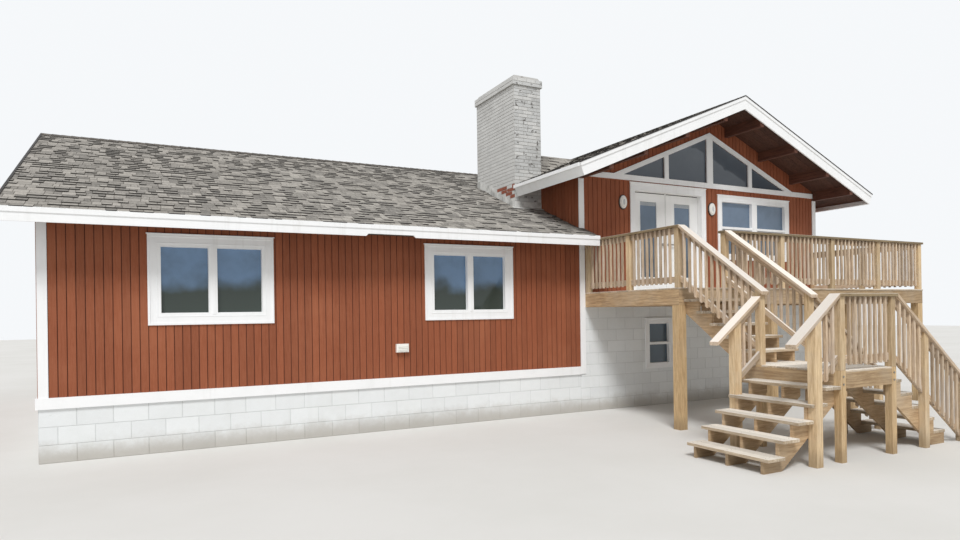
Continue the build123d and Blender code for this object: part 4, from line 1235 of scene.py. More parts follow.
@dataclass
class RoofTrim:
    """Upper rake boards, drip strips and the boards under the overhangs."""

    upper_board: float = 0.06
    upper_proud: float = 0.014
    drip_high: float = 0.02
    drip_proud: float = 0.02
    drip_back: float = 0.01
    eave_proud: float = 0.012
    eave_deep: float = 0.055
    eave_high: float = 0.004
    back_eave_start: float = 2.1
    soffit_board: float = 0.138
    soffit_gap: float = 0.002
    soffit_thick: float = 0.008
    soffit_bite: float = 0.001
    soffit_end: float = 0.2
    # The band of painted eave shade on the wing's walls
    eave_shade_band: float = 0.07
    eave_shade_band_proud: float = 0.014

    def rakes(self) -> None:
        """Build the thin upper boards and the dark strips of both gables and the wing's end."""
        boards, drips = Shape(31), Shape(32)
        lean = self.upper_board * math.cos(SLOPE_ANGLE) * math.sin(SLOPE_ANGLE)
        face = TALL_GABLE + FASCIA
        for sign in (-1, 1):
            for a, b in ((-TALL_OUT, 0.0), (0.0, TALL_OUT)):
                y0, y1 = mirrored(sign, face, face + self.upper_proud)
                board = boards.fitted((a, y0), (b, y1), raised(tall_top, -self.upper_board), tall_top, 0, 0.0)
                for vert in board:
                    if abs(vert.co.x) > TALL_EAVE and vert.co.z < tall_top(vert.co.x) - self.upper_board / 2:
                        vert.co.x -= math.copysign(lean, vert.co.x)
                        vert.co.z += lean * ROOF_PITCH
                y0, y1 = mirrored(sign, face - self.drip_back, face + self.drip_proud)
                drips.fitted((a, y0), (b, y1), tall_top, raised(tall_top, self.drip_high), 0, 0.0)
        left = WING_RAKE - FASCIA
        for a, b in ((-WING_OUT, 0.0), (0.0, WING_OUT)):
            boards.fitted((left - self.upper_proud, a), (left, b), raised(wing_top, -self.upper_board),
                          wing_top, 1, 0.0)
            drips.fitted((left - self.drip_proud, a), (left + self.drip_back, b), wing_top,
                         raised(wing_top, self.drip_high), 1, 0.0)
        boards.piece("upper_rake_boards", "trim_paint", ["trim_paint"])
        drips.piece("rake_drip_strips", "hardware", ["dark_metal"])

    def eaves(self) -> None:
        """Build the white drip strips along the eaves."""
        strips = Shape(33)
        z = wing_top(WING_OUT)
        for sign in (-1, 1):
            y0, y1 = mirrored(sign, WING_OUT - self.drip_back, WING_OUT + self.eave_proud)
            strips.box((WING_RAKE, y0, z - self.eave_deep), (WING_RIGHT, y1, z + self.eave_high), 0.0)
        z = tall_top(TALL_OUT)
        spans = {1: [(-TALL_GABLE, TALL_GABLE)],
                 -1: [(-TALL_GABLE, CHIMNEY_Y[0]), (self.back_eave_start, TALL_GABLE)]}
        for sign, parts in spans.items():
            x0, x1 = mirrored(sign, TALL_OUT - self.drip_back, TALL_OUT + self.eave_proud)
            for a, b in parts:
                strips.box((x0, a, z - self.eave_deep), (x1, b, z + self.eave_high), 0.0)
        strips.piece("eave_drip_strips", "trim_paint", ["trim_paint"])

    def boards(self, start: float, end: float, count: int) -> list[Span]:
        """Return the edges of a number of boards that fill a stretch, a small gap apart."""
        step, gap = (end - start) / count, self.soffit_gap
        return [(start + i * step + gap, start + (i + 1) * step - gap) for i in range(count)]

    def soffits(self) -> None:
        """Build the boards under the gable overhangs and the eaves, and a dark band on the wing's walls that is
        painted shade under the eaves.
        """
        gable, low = Shape(34), Shape(35)
        thick = self.soffit_thick
        under, over = raised(tall_top, -TALL_SLAB - thick), raised(tall_top, self.soffit_bite - TALL_SLAB)
        eave = TALL_EAVE - (TALL_SLAB + thick) * math.cos(SLOPE_ANGLE) * math.sin(SLOPE_ANGLE)
        count = round((TALL_GABLE - HALF_DEPTH) / self.soffit_board)
        for sign in (-1, 1):
            for near, far in self.boards(HALF_DEPTH, TALL_GABLE, count):
                y0, y1 = mirrored(sign, near, far)
                for a, b in ((-eave, 0.0), (0.0, eave)):
                    gable.fitted((a, y0), (b, y1), under, over)
        for a, b in self.boards(HALF_TALL, eave, 4):
            gable.fitted((a, -HALF_DEPTH), (b, HALF_DEPTH), under, over)
            gable.fitted((-b, -HALF_DEPTH), (-a, CHIMNEY_Y[0] + self.soffit_end), under, over)
        under, over = raised(wing_top, -WING_SLAB - thick), raised(wing_top, self.soffit_bite - WING_SLAB)
        head = wing_top(HALF_DEPTH) - WING_SLAB
        for sign in (-1, 1):
            for near, far in self.boards(HALF_DEPTH, WING_EAVE, 3):
                y0, y1 = mirrored(sign, near, far)
                low.fitted((WING_RAKE, y0), (WING_RIGHT, y1), under, over, 1)
            # A dark board under the wing's eaves: painted shade of the eave on the siding
            y0, y1 = mirrored(sign, HALF_DEPTH, HALF_DEPTH + self.eave_shade_band_proud)
            low.box((WING_LEFT + CORNER_BOARD, y0, head - self.eave_shade_band), (-HALF_TALL, y1, head), 0.0)
        gable.piece("gable_soffit_boards", "beam_stain", ["soffit_stain_and_shade"])
        # The wing's soffits take the dark soffit colour, painted shade under the eave, in place of white trim
        # paint
        low.piece("wing_soffits_and_shade_band", "trim_paint", ["soffit_stain_and_shade"])

    def build(self) -> None:
        """Build all the roof's trim."""
        self.rakes()
        self.eaves()
        self.soffits()


@dataclass
class Chimney:
    """Painted bricks on the chimney's faces and cap, some with the paint gone, and its flashing."""

    brick: float = 0.203
    course: float = 0.067
    joint: float = 0.009
    proud: float = 0.006
    soft: float = 0.002
    foot: float = 3.2
    front_foot: float = 3.85
    roof_foot: float = 4.5
    cap_foot: float = 6.18
    cap_high: float = 0.14
    bare_end: float = -2.35
    bare_low: float = 0.12
    bare_high: float = 0.5
    bare_fall: float = 0.45
    bare_share: float = 0.85
    worn_foot: float = 4.4
    worn_shares: Span = (0.2, 0.75)
    sheet: float = 0.17
    sheet_gap: float = 0.003
    sheet_thick: float = 0.006
    upstand: float = 0.12
    sunk: float = 0.01
    apron: float = 0.11
    apron_side: float = 0.08
    apron_heights: Span = (0.012, 0.016)
    draw: random.Random = field(default_factory=lambda: random.Random(42))

    def over_wing(self, at: float, z: float) -> bool:
        """Say whether a brick of the left face would lie under the wing's roof."""
        return z < wing_top(at) - 2 * self.sunk

    def bare(self, at: float, z: float) -> int:
        """Return the finish of a brick of the left face, where many near the roof have lost their paint."""
        near = self.bare_low < z - wing_top(at) < self.bare_high - self.bare_fall * (at - CHIMNEY_Y[0])
        return 1 if at < self.bare_end and near and self.draw.random() < self.bare_share else 0

    def worn(self, _: float, z: float) -> int:
        """Return the finish of a brick of the front or the back, where some are worn."""
        return 2 if self.draw.random() < self.worn_shares[z > self.worn_foot] else 0

    def build(self) -> None:
        """Build the bricks and the flashing."""
        shape = Shape(41)
        front, back = CHIMNEY_Y
        sizes = (self.brick, self.course, self.joint, self.proud)
        out, cap_top = CHIMNEY_CAP_OUT, self.cap_foot + self.cap_high
        faces = ((Side.FRONT, front, *CHIMNEY_X, lambda _, z: z < self.front_foot, self.worn),
                 (Side.BACK, back, *CHIMNEY_X, lambda _, z: z < self.roof_foot, self.worn),
                 (Side.LEFT, CHIMNEY_X[0], *CHIMNEY_Y, self.over_wing, self.bare),
                 (Side.RIGHT, CHIMNEY_X[1], *CHIMNEY_Y, lambda _, z: z < self.roof_foot, None))
        for side, face, a, b, hidden, pick in faces:
            CoursedWall(side, face, a, b, self.foot, self.cap_foot, *sizes, [], hidden, pick).add_to(shape)
            CoursedWall(side, face + side.out * out, a - out, b + out, self.cap_foot, cap_top, *sizes,
                        pick=self.worn if side.axis == 0 else None).add_to(shape)
        shape.soften(self.soft)
        shape.piece("chimney_bricks", "chimney_masonry", ["brick_paint", "brick_bare", "brick_worn"])
        self.flashing()

    def flashing(self) -> None:
        """Build the stepped sheets on the chimney's left face and the apron on its front."""
        shape = Shape(43)
        (left, right), (front, back) = CHIMNEY_X, CHIMNEY_Y
        count = round((back - front) / self.sheet)
        step = (back - front) / count
        out = self.proud + self.sheet_thick
        under = raised(wing_top, -self.sunk)
        for i in range(count):
            a = front + i * step
            lower = a if a + step < 0.0 else a + step
            shape.fitted((left - out, a + self.sheet_gap), (left - self.proud, a + step - self.sheet_gap),
                         under, level(under(lower) + step * ROOF_PITCH + self.upstand), 1)
        foot = wing_top(front)
        shape.box((left - out, front - out, foot - 2 * self.sunk),
                  (right + out, front - self.proud, foot + self.upstand))
        low, high = (raised(wing_top, rise) for rise in self.apron_heights)
        shape.fitted((left - self.apron_side, front - self.apron), (right + out, front), low, high, 1)
        shape.piece("chimney_flashing", "hardware", ["step_flashing"])


@dataclass
class BlockWork:
    """Painted concrete blocks on the lower storey and the wing's foundation."""

    block: float = 0.4064
    course: float = 0.2032
    joint: float = 0.008
    proud: float = 0.004
    soft: float = 0.0025
    foundation_top: float = 0.673

    def walls(self, name: str, seed: int, top: float, left: float, right: float, end: Side,
              windows: Sequence[Window] = ()) -> None:
        """Build the blocks on the front, the back and one end.

        Args:
            name: The piece's name.
            seed: The seed of its tones.
            top: The height of the blocks.
            left: The left end of the front and the back.
            right: Their right end.
            end: Which end has blocks.
            windows: The windows that the blocks go round.
        """
        shape = Shape(seed)
        for side, face, a, b in ((Side.FRONT, -HALF_DEPTH, left, right), (Side.BACK, HALF_DEPTH, left, right),
                                 (end, left if end is Side.LEFT else right, -HALF_DEPTH, HALF_DEPTH)):
            CoursedWall(side, face, a, b, 0.0, top, self.block, self.course, self.joint, self.proud,
                        openings(windows, side)).add_to(shape)
        shape.soften(self.soft)
        shape.piece(name, "block_paint", ["block_paint"])

    def build(self) -> None:
        """Build the blocks of both parts."""
        self.walls("lower_blocks", 51, BLOCK_TOP, -HALF_TALL, HALF_TALL, Side.RIGHT, LOWER_WINDOWS)
        self.walls("foundation_blocks", 52, self.foundation_top, WING_LEFT, -HALF_TALL, Side.LEFT)


@dataclass
class Decking:
    """Separate boards of the deck, the landing and the treads, their rims, screws and bolts."""

    board: float = 0.14
    gap: float = 0.006
    soft: float = 0.003
    skin: float = 0.004
    rim_soft: float = 0.0015
    rim_length: float = 3.66
    rim_gap: float = 0.002
    joint: float = 0.0015
    joint_step: float = 0.8
    landing_inset: float = 0.002
    tread: float = 0.038
    bays: int = 15
    deck_edge: float = 0.03
    landing_edge: float = 0.12
    tread_edge: float = 0.07
    head: float = 0.0045
    head_high: float = 0.0012
    head_sunk: float = 0.001
    bolt: float = 0.012
    bolt_proud: float = 0.008
    bolt_drops: Span = (0.16, 0.07)
    flights: tuple[tuple[str, int], ...] = (("upper", 0), ("left", 1), ("right", 1))

    def rows(self, shape: Shape, low: Vector, high: Vector, axis: int, joints: Sequence[float] = ()) -> None:
        """Add boards that fill a box.

        Args:
            shape: The mesh.
            low: The box's lowest corner.
            high: The box's highest corner.
            axis: The axis, 0 or 1, that the boards run along.
            joints: Where boards may end, as places along the axis.
        """
        across = 1 - axis
        count, pitch = self.spread(high[across] - low[across])
        for i in range(count):
            a, b = Vector(low), Vector(high)
            a[across] = low[across] + i * pitch
            b[across] = a[across] + pitch - self.gap
            cuts = [low[axis], *([shape.draw.choice(joints)] if joints else []), high[axis]]
            for c, d in zip(cuts, cuts[1:]):
                a[axis] = c + (self.joint if c != cuts[0] else 0.0)
                b[axis] = d - (self.joint if d != cuts[-1] else 0.0)
                shape.box(a, b)

    def spread(self, width: float) -> tuple[int, float]:
        """Return how many boards fill a width, and the distance from one to the next."""
        count = max(1, round((width + self.gap) / (self.board + self.gap)))
        return count, (width + self.gap) / count

    def planks(self, shape: Shape, name: str) -> None:
        """Turn boards into a piece that stands for the plain CAD ones."""
        shape.soften(self.soft)
        node = {"deck": "deck_boards", "landing": "landing_boards"}.get(name, f"{name}_treads")
        shape.piece(f"{name}_planks", "deck_wood", ["deck_wood"], replaces=[node])

    def build(self) -> None:
        """Build the boards, the rims and the fixings."""
        deck = Shape(61)
        low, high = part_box("deck_boards")
        self.rows(deck, low, high, 0, [low.x + k * self.joint_step for k in range(2, 7)])
        self.planks(deck, "deck")
        landing = Shape(62)
        low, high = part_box("landing_boards")
        inset = Vector((self.landing_inset, self.landing_inset, 0.0))
        self.rows(landing, low + inset, high - inset, 0)
        self.planks(landing, "landing")
        for name, axis in self.flights:
            shape = Shape(63)
            for low, high in self.treads(name, 1 - axis):
                self.rows(shape, low, high, axis)
            self.planks(shape, f"{name}_flight")
        self.rims()
        self.fixings()

    def rims(self) -> None:
        """Build the outer rim boards of the deck and the landing."""
        shape = Shape(64)
        skin = self.skin
        low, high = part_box("deck_frame")
        edges = [low.x, low.x + self.rim_length, high.x]
        for a, b in zip(edges, edges[1:]):
            shape.box((a, low.y - skin, low.z), (b - self.rim_gap, low.y, high.z))
        for x in (low.x - skin, high.x):
            shape.box((x, low.y, low.z), (x + skin, high.y, high.z))
        low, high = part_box("landing_frame")
        for y in (low.y - skin, high.y):
            shape.box((low.x + POST, y, low.z), (high.x - POST, y + skin, high.z))
        for x in (low.x - skin, high.x):
            shape.box((x, low.y + POST, low.z), (x + skin, high.y - POST, high.z))
        shape.soften(self.rim_soft)
        shape.piece("rim_skins", "rim_wood", ["rim_board"])

    def fixings(self) -> None:
        """Build the screw heads of all the boards and the bolts of the landing's posts."""
        shape = Shape(65)
        low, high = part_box("deck_boards")
        start, span = low.x + self.deck_edge, high.x - low.x - 2 * self.deck_edge
        places = [start + i * span / self.bays for i in range(self.bays + 1)]
        self.heads(shape, places, 0, (low.y, high.y), DECK_TOP)
        low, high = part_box("landing_boards")
        places = [low.x + self.landing_edge, (low.x + high.x) / 2, high.x - self.landing_edge]
        self.heads(shape, places, 0, (low.y, high.y), LANDING_TOP)
        for name, axis in self.flights:
            for a, b in self.treads(name, 1 - axis):
                middle = (a[axis] + b[axis]) / 2
                span = (b[axis] - a[axis]) / 2 - self.tread_edge
                places = [middle - span, middle, middle + span]
                self.heads(shape, places, axis, (a[1 - axis], b[1 - axis]), b.z)
        low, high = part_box("landing_posts")
        for x in (low.x + POST / 2, high.x - POST / 2):
            for z in (LANDING_TOP - drop for drop in self.bolt_drops):
                shape.rod((x, low.y - self.bolt_proud, z), (x, low.y, z), self.bolt)
        shape.piece("deck_fixings", "hardware", ["hardware"])

    def heads(self, shape: Shape, places: Sequence[float], axis: int, span: Span, top: float) -> None:
        """Add two screw heads to every board at each place along the boards."""
        count, pitch = self.spread(span[1] - span[0])
        for i in range(count):
            for share in (0.25, 0.75):
                across = span[0] + (i + share) * pitch
                for at in places:
                    x, y = (at, across) if axis == 0 else (across, at)
                    shape.rod((x, y, top - self.head_sunk), (x, y, top + self.head_high), self.head, 8)

    def treads(self, name: str, across: int) -> list[tuple[Vector, Vector]]:
        """Return the corners of each tread of a flight, found from the flight's own box."""
        low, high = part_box(f"{name}_flight_treads")
        run = (high[across] - low[across] - NOSING) / STEPS
        falling = 1 if name == "right" else -1
        edge = high[across] if falling < 0 else low[across]
        found = []
        for k in range(STEPS):
            a, b = Vector(low), Vector(high)
            a[across], b[across] = sorted((edge + falling * k * run,
                                           edge + falling * ((k + 1) * run + NOSING)))
            b.z = high.z - k * RISE
            a.z = b.z - self.tread
            found.append((a, b))
        return found


@dataclass(frozen=True)
class Post:
    """A post of a railing: its middle's place along the line, the level of its foot, and its width."""

    place: float
    foot: float
    size: float = POST


@dataclass
class Railing:
    """A run of railing from separate boards: posts, cap, two rails and bars on the outer face.

    Places along it count from its start, the way it runs, and places across it from its line outward.
    """

    line: float
    start: float
    axis: int
    sign: int
    out: int
    floor: float
    height: float
    end: float
    cap: Span
    posts: Sequence[Post]
    fall: float = 0.0
    rails_from: float = 0.0
    cap_thick: float = 0.038
    cap_half: float = 0.07
    deep: float = 0.089
    bottom_gap: float = 0.08
    bar: float = 0.035
    bar_step: float = 0.103
    bar_drop: float = 0.02

    def below(self, drop: float) -> Height:
        """Return the height a distance below the cap's underside, by the coordinate along the axis."""
        top = self.floor + self.height - self.cap_thick * math.hypot(1.0, self.fall) - drop
        pivot = self.cap_half - POST / 2
        return lambda at: top - ((at - self.start) * self.sign - pivot) * self.fall

    def strip(self, shape: Shape, along: Span, across: Span, foot: Height, head: Height,
              finish: int = 0) -> None:
        """Add a board between two places along and two across."""
        a, b = sorted(self.start + self.sign * place for place in along)
        c, d = sorted(self.line + self.out * place for place in across)
        low, high = ((a, c), (b, d)) if self.axis == 0 else ((c, a), (d, b))
        shape.fitted(low, high, foot, head, self.axis, None, finish)

    def add_to(self, shape: Shape) -> None:
        """Add the run's boards to a mesh, the posts with the second finish and a level cap with the third."""
        half, under = POST / 2, self.below(0.0)
        self.strip(shape, self.cap, (-self.cap_half, self.cap_half), under,
                   self.below(-self.cap_thick * math.hypot(1.0, self.fall)), 0 if self.fall else 2)
        edges = [self.rails_from]
        for post in self.posts:
            a, b = post.place - post.size / 2, post.place + post.size / 2
            self.strip(shape, (a, b), (-half, post.size - half), level(post.foot), under, 1)
            edges += [a, b]
        edges.append(self.end)
        low = self.height - self.bottom_gap - self.deep - self.cap_thick
        face = half - self.bar
        for a, b in zip(edges[::2], edges[1::2]):
            if b - a < self.bar:
                continue
            for drop in (0.0, low):
                self.strip(shape, (a, b), (face - self.cap_thick, face), self.below(drop + self.deep),
                           self.below(drop))
            count = max(0, round((b - a) / self.bar_step) - 1)
            for i in range(count):
                at = a + (i + 1) * (b - a) / (count + 1)
                self.strip(shape, (at - self.bar / 2, at + self.bar / 2), (face, half),
                           self.below(low + self.deep + self.bar_drop), under)


@dataclass
class Railings:
    """All the railings, in place of the plain CAD ones."""

    reach: float = 0.07
    newel: float = 0.11
    newel_reach: float = 0.4105
    left_cap_end: float = 0.7955
    right_posts: Span = (0.6505, 1.4855)
    soft: float = 0.003

    def lines(self) -> tuple[Span, Span]:
        """Return the x of the stairway's two rail lines and the y of the landing's two."""
        low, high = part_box("landing_posts")
        half = POST / 2
        return (low.x + half, high.x - half), (low.y + half, high.y - half)

    def fall(self, name: str, axis: int) -> float:
        """Return how far a flight falls for each metre that it runs along an axis."""
        low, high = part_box(f"{name}_flight_treads")
        return RISE * STEPS / (high[axis] - low[axis] - NOSING)

    def level_posts(self, span: float, bays: int, foot: float, first: int = 0) -> list[Post]:
        """Return evenly spaced posts along a level run."""
        return [Post(i * span / bays, foot) for i in range(first, bays + 1)]

    def level_runs(self) -> dict[str, list[Railing]]:
        """Return the level runs by the CAD node that they stand for."""
        (left, right), (front, _) = self.lines()
        half, reach = POST / 2, self.reach
        low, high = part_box("deck_rail_front")
        deck_y, end_x, deck_high = low.y + reach, high.x - reach, high.z - DECK_TOP
        left_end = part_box("deck_rail_left")[1]
        left_high, side = left_end.z - DECK_TOP, left_end.y - half - deck_y
        landing_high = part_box("landing_rail")[1].z - LANDING_TOP
        long, short = end_x - right, right - left
        return {
            "deck_rail_left": [Railing(left, deck_y, 1, 1, -1, DECK_TOP, left_high, side,
                                       (-reach, side + half), self.level_posts(side, 2, DECK_TOP))],
            "deck_rail_front": [Railing(deck_y, right, 0, 1, -1, DECK_TOP, deck_high, long,
                                        (-reach, long + reach), self.level_posts(long, 4, DECK_TOP))],
            "deck_rail_right": [Railing(end_x, deck_y, 1, 1, 1, DECK_TOP, deck_high, side,
                                        (reach, side + half), self.level_posts(side, 2, DECK_TOP, 1),
                                        rails_from=half)],
            "landing_rail": [Railing(front, left, 0, 1, -1, LANDING_TOP, landing_high, short,
                                     (-reach, short + reach), self.level_posts(short, 1, LANDING_TOP))],
        }

    def sloping_runs(self, level_runs: dict[str, list[Railing]]) -> dict[str, list[Railing]]:
        """Return the flights' runs, which start from the level ones' heights, by their CAD node."""
        (left, right), (front, back) = self.lines()
        half = POST / 2
        cap_start = self.reach - half
        deck_left, deck_front = level_runs["deck_rail_left"][0], level_runs["deck_rail_front"][0]
        start = deck_left.start - half
        upper_end = start - back + half
        post = [Post(upper_end - half, LANDING_TOP)]
        runs = {"upper_flight_rails": [
            Railing(x, start, 1, -1, out, DECK_TOP, height, upper_end, (cap_start, upper_end + half), post,
                    self.fall("upper", 1))
            for x, out, height in ((left, -1, deck_left.height), (right, 1, deck_front.height))]}
        newel = [Post(self.newel_reach, 0.0, self.newel)]
        ends = [Post(place, 0.0) for place in self.right_posts]
        last = self.right_posts[1] + half
        landing_high = level_runs["landing_rail"][0].height
        for name, x, sign, end, cap_end, posts in (
                ("left", left - half, -1, self.newel_reach + self.newel / 2, self.left_cap_end, newel),
                ("right", right + half, 1, last, last + half, ends)):
            runs[f"{name}_flight_rails"] = [
                Railing(y, x, 0, sign, out, LANDING_TOP, landing_high, end, (cap_start, cap_end), posts,
                        self.fall(name, 0))
                for y, out in ((front, -1), (back, 1))]
        return runs

    def build(self) -> None:
        """Build every run."""
        level_runs = self.level_runs()
        for seed, (node, runs) in enumerate({**level_runs, **self.sloping_runs(level_runs)}.items(), 71):
            shape = Shape(seed)
            for run in runs:
                run.add_to(shape)
            shape.soften(self.soft)
            finishes = ["rail_wood", "newel_wood", "cap_wood"]
            shape.piece(f"{node}_boards", "rail_wood", finishes, replaces=[node])


@dataclass
class Glazing:
    """Beads round the panes, raised bands on the casings, drip caps and the gable's panes."""

    proud: float = 0.02
    soft: float = 0.0015
    band: float = 0.03
    band_proud: float = 0.008
    sash_lap: float = 0.006
    sash_bead: float = 0.012
    sash_proud: float = 0.004
    cap_side: float = 0.012
    cap_high: float = 0.014
    cap_proud: float = 0.016
    pane_border: float = 0.045
    pane_back: float = 0.045
    pane_bead: float = 0.004
    pane_proud: float = 0.014
    meeting: Span = (-0.012, 0.03)
    meeting_end: float = 0.02
    meeting_proud: float = 0.006
    transom_centre: float = 0.08
    transom_side: Span = (1.1, 1.2)
    transom_end: float = 0.004
    transom_back: float = 0.012
    transom_thick: float = 0.012

    def window(self, shape: Shape, window: Window) -> None:
        """Add the trims of one window."""
        (a, b), low, high = window.across, window.foot, window.foot + window.height
        proud = self.proud
        window.ring(shape, (a, b), (low, high), min(self.band, window.casing / 2),
                    (proud, proud + self.band_proud))
        inner = window.casing - self.sash_lap
        window.ring(shape, (a + inner, b - inner), (low + inner, high - inner), self.sash_bead,
                    (proud, proud + self.sash_proud))
        window.strip(shape, (a - self.cap_side, b + self.cap_side), (high, high + self.cap_high),
                     (0.0, proud + self.cap_proud))
        for across, heights in window.panes(self.pane_border):
            window.ring(shape, across, heights, self.pane_bead,
                        (-self.pane_back, self.pane_proud - self.pane_back))
        if window.mullion and not window.cross:
            end = window.casing + self.meeting_end
            window.strip(shape, (window.middle + self.meeting[0], window.middle + self.meeting[1]),
                         (low + end, high - end), (proud, proud + self.meeting_proud))

    def build(self) -> None:
        """Build the trims of every window and of the door frame, and the gable's panes."""
        shape = Shape(81)
        for window in (*WING_WINDOWS, *UPPER_WINDOWS, *LOWER_WINDOWS):
            self.window(shape, window)
        low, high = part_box("door_frame")
        face, band, thick = -HALF_DEPTH - self.proud, self.band, self.band_proud
        for x in (low.x, high.x - band):
            shape.box((x, face - thick, DECK_TOP), (x + band, face, high.z), 0.0)
        shape.box((low.x + band, face - thick, high.z - band), (high.x - band, face, high.z), 0.0)
        shape.box((low.x - self.cap_side, face - self.cap_proud, high.z),
                  (high.x + self.cap_side, -HALF_DEPTH, high.z + self.cap_high), 0.0)
        shape.soften(self.soft)
        shape.piece("window_trims", "trim_paint", ["trim_paint"])
        self.transoms()

    def transoms(self) -> None:
        """Build the gable's four panes close behind their trims."""
        shape = Shape(84)
        low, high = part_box("transom_glass")
        y = -HALF_DEPTH + self.transom_back
        start, end = self.transom_side
        spans = ((self.transom_centre, start), (end, high.x - self.transom_end))
        for sign in (-1, 1):
            for near, far in spans:
                a, b = mirrored(sign, near, far)
                shape.fitted((a, y), (b, y + self.transom_thick), level(low.z),
                             lambda x: low.z + (high.x - abs(x)) * ROOF_PITCH, 0, 0.0)
        shape.piece("transom_panes", "glass", ["glass_high"], replaces=["transom_glass"])


@dataclass
class DoorTrim:
    """Glass beads, a raised blind, a meeting bead and a dark strip of painted shade at the head of each leaf, and
    the threshold.
    """

    bead: float = 0.018
    bead_proud: float = 0.006
    soft: float = 0.001
    slats: int = 4
    slat: float = 0.012
    slat_pitch: float = 0.02
    slat_depths: Span = (0.004, 0.001)
    meeting_wide: float = 0.012
    meeting_proud: float = 0.004
    meeting_insets: Span = (0.016, 0.004)
    meeting_ends: Span = (0.02, 0.03)
    # A dark strip at the leaf's head: painted shade of the gap under the frame's head
    head_shade_strip: float = 0.014
    head_shade_drop: float = 0.011
    head_shade_end: float = 0.012
    head_shade_proud: float = 0.002
    sill_end: float = 0.11
    sill_depths: Span = (0.035, 0.08)
    sill_heights: Span = (0.025, 0.029)

    def leaf(self, side: str) -> None:
        """Build one leaf's trim."""
        shape = Shape(82)
        leaf_low, leaf_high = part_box(f"door_{side}")
        low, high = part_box(f"door_{side}_glass")
        for y0, y1 in ((leaf_low.y - self.bead_proud, low.y), (high.y, leaf_high.y + self.bead_proud)):
            shape.ring((low.x, y0, low.z), (high.x, y1, high.z), self.bead)
        y = leaf_low.y
        edge = leaf_high.x - self.meeting_insets[0] if side == "left" else leaf_low.x + self.meeting_insets[1]
        shape.box((edge, y - self.meeting_proud, leaf_low.z + self.meeting_ends[0]),
                  (edge + self.meeting_wide, y, leaf_high.z - self.meeting_ends[1]), 0.0)
        front, back = (low.y - depth for depth in self.slat_depths)
        for i in range(self.slats):
            top = high.z - self.bead - i * self.slat_pitch
            shape.box((low.x + self.bead, front, top - self.slat), (high.x - self.bead, back, top), 0.0, 1)
        # A dark strip along the leaf's head: painted shade of the gap under the frame's head
        top = leaf_high.z - self.head_shade_drop
        shape.box((leaf_low.x + self.head_shade_end, y - self.head_shade_proud, top - self.head_shade_strip),
                  (leaf_high.x - self.head_shade_end, y, top), 0.0, 2)
        shape.soften(self.soft)
        finishes = ["door_paint", "blind_cloth", "dark_metal"]
        shape.piece(f"{side}_leaf_beads", "door_paint", finishes, f"{side}_leaf")

    def build(self) -> None:
        """Build both leaves' trims and the threshold."""
        for side in ("left", "right"):
            self.leaf(side)
        low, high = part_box("door_frame")
        sill = Shape(83)
        foot, top = (DECK_TOP + rise for rise in self.sill_heights)
        sill.box((low.x + self.sill_end, -HALF_DEPTH - self.sill_depths[0], foot),
                 (high.x - self.sill_end, -HALF_DEPTH + self.sill_depths[1], top), 0.0)
        sill.piece("door_threshold", "hardware", ["hardware"])


@dataclass(frozen=True)
class Ring:
    """One oval of a wall light: its insets, how far it stands out, its finish and how much its face keeps."""

    wide: float
    high: float
    depth: float
    finish: int
    dome: float = 1.0


@dataclass
class Fittings:
    """Oval wall lights with a dark outer ring, a stepped lens and a slit, and the louvred cover of the small box.
    """

    light_places: Span = (-2.23, 0.04)
    light_high: float = 3.83
    light_shape: float = 19 / 28
    rings: tuple[Ring, ...] = (Ring(0.0, 0.0, 0.024, 1), Ring(0.013, 0.013, 0.046, 0, 0.94),
                               Ring(0.03, 0.032, 0.058, 0, 0.88), Ring(0.072, 0.08, 0.064, 2, 0.9))
    light_soft: float = 0.002
    cover_inset: float = 0.008
    cover_proud: float = 0.006
    cover_soft: float = 0.0015
    louvres: int = 4
    louvre_start: float = 0.026
    louvre_step: float = 0.024
    louvre_end: float = 0.02
    louvre_proud: float = 0.016
    louvre_thick: float = 0.006
    louvre_fall: float = 0.6

    def lights(self) -> None:
        """Build the two lights."""
        low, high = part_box("wall_lights")
        half_high = (high.z - low.z) / 2
        half_wide = half_high * self.light_shape
        shape = Shape(91)
        for x in self.light_places:
            for ring in self.rings:
                shape.oval((x, -HALF_DEPTH, self.light_high), (half_wide - ring.wide, half_high - ring.high),
                           ring.depth, ring.dome, ring.finish)
        shape.soften(self.light_soft)
        shape.piece("oval_lights", "light_cover", ["light_cover", "dark_metal", "blind_cloth"],
                    replaces=["wall_lights"])

    def louvre_under(self, face: float, height: float) -> Height:
        """Return the underside of a louvre by the coordinate y, from its height at the box's face."""
        return lambda y: height + (y - face) * self.louvre_fall

    def cover(self) -> None:
        """Build the small box's cover."""
        low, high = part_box("utility_box")
        shape = Shape(92)
        inset, proud = self.cover_inset, self.cover_proud
        shape.box((low.x + inset, low.y - proud, low.z + inset),
                  (high.x - inset, low.y, high.z - inset), 0.0)
        for i in range(self.louvres):
            under = self.louvre_under(low.y, low.z + self.louvre_start + i * self.louvre_step)
            shape.fitted((low.x + self.louvre_end, low.y - self.louvre_proud),
                         (high.x - self.louvre_end, low.y - proud),
                         under, raised(under, self.louvre_thick), 1, 0.0)
        shape.soften(self.cover_soft)
        shape.piece("utility_cover", "light_cover", ["light_cover"])

    def build(self) -> None:
        """Build the lights and the cover."""
        self.lights()
        self.cover()


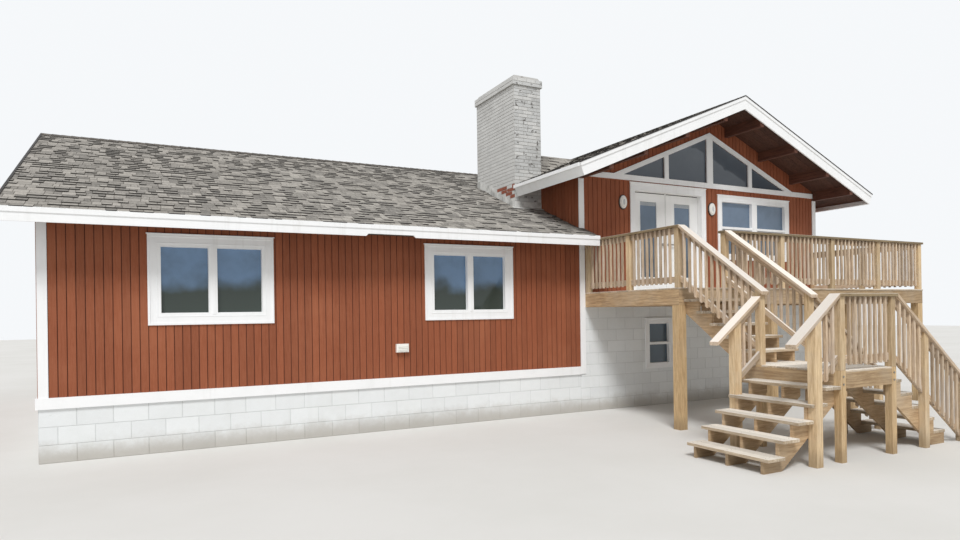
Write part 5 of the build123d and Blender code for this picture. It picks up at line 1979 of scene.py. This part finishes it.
@dataclass
class Studio:
    """Floor, lights and the camera."""

    place: Point = (-10.31, -14.1, 1.782)
    yaw: float = -27.3
    roll: float = -0.81
    lens: float = 24.94
    sensor: float = 36.0
    shift: float = 0.0458
    far: float = 300.0
    sun: float = 2.3
    sun_size: float = 18.0
    sun_turn: float = -32.0
    sun_tilt: float = 38.0
    ambient: float = 0.52
    backdrop: Colour = (0.92, 0.94, 0.96)
    floor_half: float = 60.0

    def turn(self, degrees: float, axis: str) -> Matrix:
        """Return a turn about one axis."""
        return Matrix.Rotation(math.radians(degrees), 4, axis)

    def camera(self) -> None:
        """Set up the camera where the photographer stood."""
        data = bpy.data.cameras.new("camera")
        data.lens = self.lens
        data.sensor_width = self.sensor
        data.shift_y = self.shift
        data.clip_end = self.far
        made = bpy.data.objects.new("camera", data)
        bpy.context.scene.collection.objects.link(made)
        made.matrix_world = (Matrix.Translation(self.place) @ self.turn(self.yaw, "Z") @ self.turn(90.0, "X")
                             @ self.turn(self.roll, "Z"))
        bpy.context.scene.camera = made

    def lights(self) -> None:
        """Set up a soft high lamp and an even sky."""
        data = bpy.data.lights.new("sun", "SUN")
        data.energy = self.sun
        data.angle = math.radians(self.sun_size)
        made = bpy.data.objects.new("sun", data)
        made.matrix_world = self.turn(self.sun_turn, "Z") @ self.turn(self.sun_tilt, "X")
        bpy.context.scene.collection.objects.link(made)
        world = bpy.data.worlds.new("sky")
        world.use_nodes = True
        bpy.context.scene.world = world
        tree = Tree(world.node_tree)
        world.node_tree.nodes.clear()
        rays = tree.add("ShaderNodeLightPath").outputs
        seen = tree.maths("MAXIMUM", rays["Is Camera Ray"],
                          tree.maths("MAXIMUM", rays["Is Glossy Ray"], rays["Is Transmission Ray"]))
        plain = tree.add("ShaderNodeBackground", {"Color": (1.0, 1.0, 1.0), "Strength": self.ambient})
        shown = tree.add("ShaderNodeBackground", {"Color": self.backdrop, "Strength": 1.0})
        mixed = tree.add("ShaderNodeMixShader", {0: seen, 1: plain.outputs[0], 2: shown.outputs[0]})
        tree.add("ShaderNodeOutputWorld", {"Surface": mixed.outputs[0]})

    def floor(self) -> None:
        """Lay a pale floor under the house."""
        bm = bmesh.new()
        bmesh.ops.create_grid(bm, x_segments=1, y_segments=1, size=self.floor_half)
        mesh = bpy.data.meshes.new("floor")
        bm.to_mesh(mesh)
        bm.free()
        made = Surface("floor_paper")
        cloud = made.effect(Effect.BLOTCH, scale=0.3, low=0.3, high=0.7)
        mesh.materials.append(made.close(made.mix(cloud, rgb(214, 213, 209), rgb(220, 219, 216)), 0.95))
        floor = bpy.data.objects.new("floor", mesh)
        bpy.context.scene.collection.objects.link(floor)

    def build(self) -> None:
        """Set up the whole studio."""
        bpy.context.scene.view_settings.view_transform = "Standard"
        self.camera()
        self.lights()
        self.floor()


def dress_nodes() -> None:
    """Give every CAD node its finish."""
    slots = {row["node"]: row["material_slot"] for row in frame["record"]["subparts"]}
    for name, node in frame["nodes"].items():
        finish = NODE_FINISH.get(name, SLOT_FINISH.get(slots[name], slots[name]))
        node.data.materials.clear()
        node.data.materials.append(MATERIALS[finish])
        LOG.info("%s: %s", name, finish)


def main() -> None:
    """Build the finishes, the studio and every sub-assembly in order."""
    logging.basicConfig(level=logging.INFO, format="%(message)s")
    for finish in FINISHES:
        MATERIALS[finish.name] = finish.build()
    Studio().build()
    dress_nodes()
    for part in (Siding(), Roofing(), RoofTrim(), Chimney(), BlockWork(), Decking(), Railings(), Glazing(),
                 DoorTrim(), Fittings()):
        part.build()
        LOG.info("%s is done", type(part).__name__)


if __name__ == "__main__":
    main()
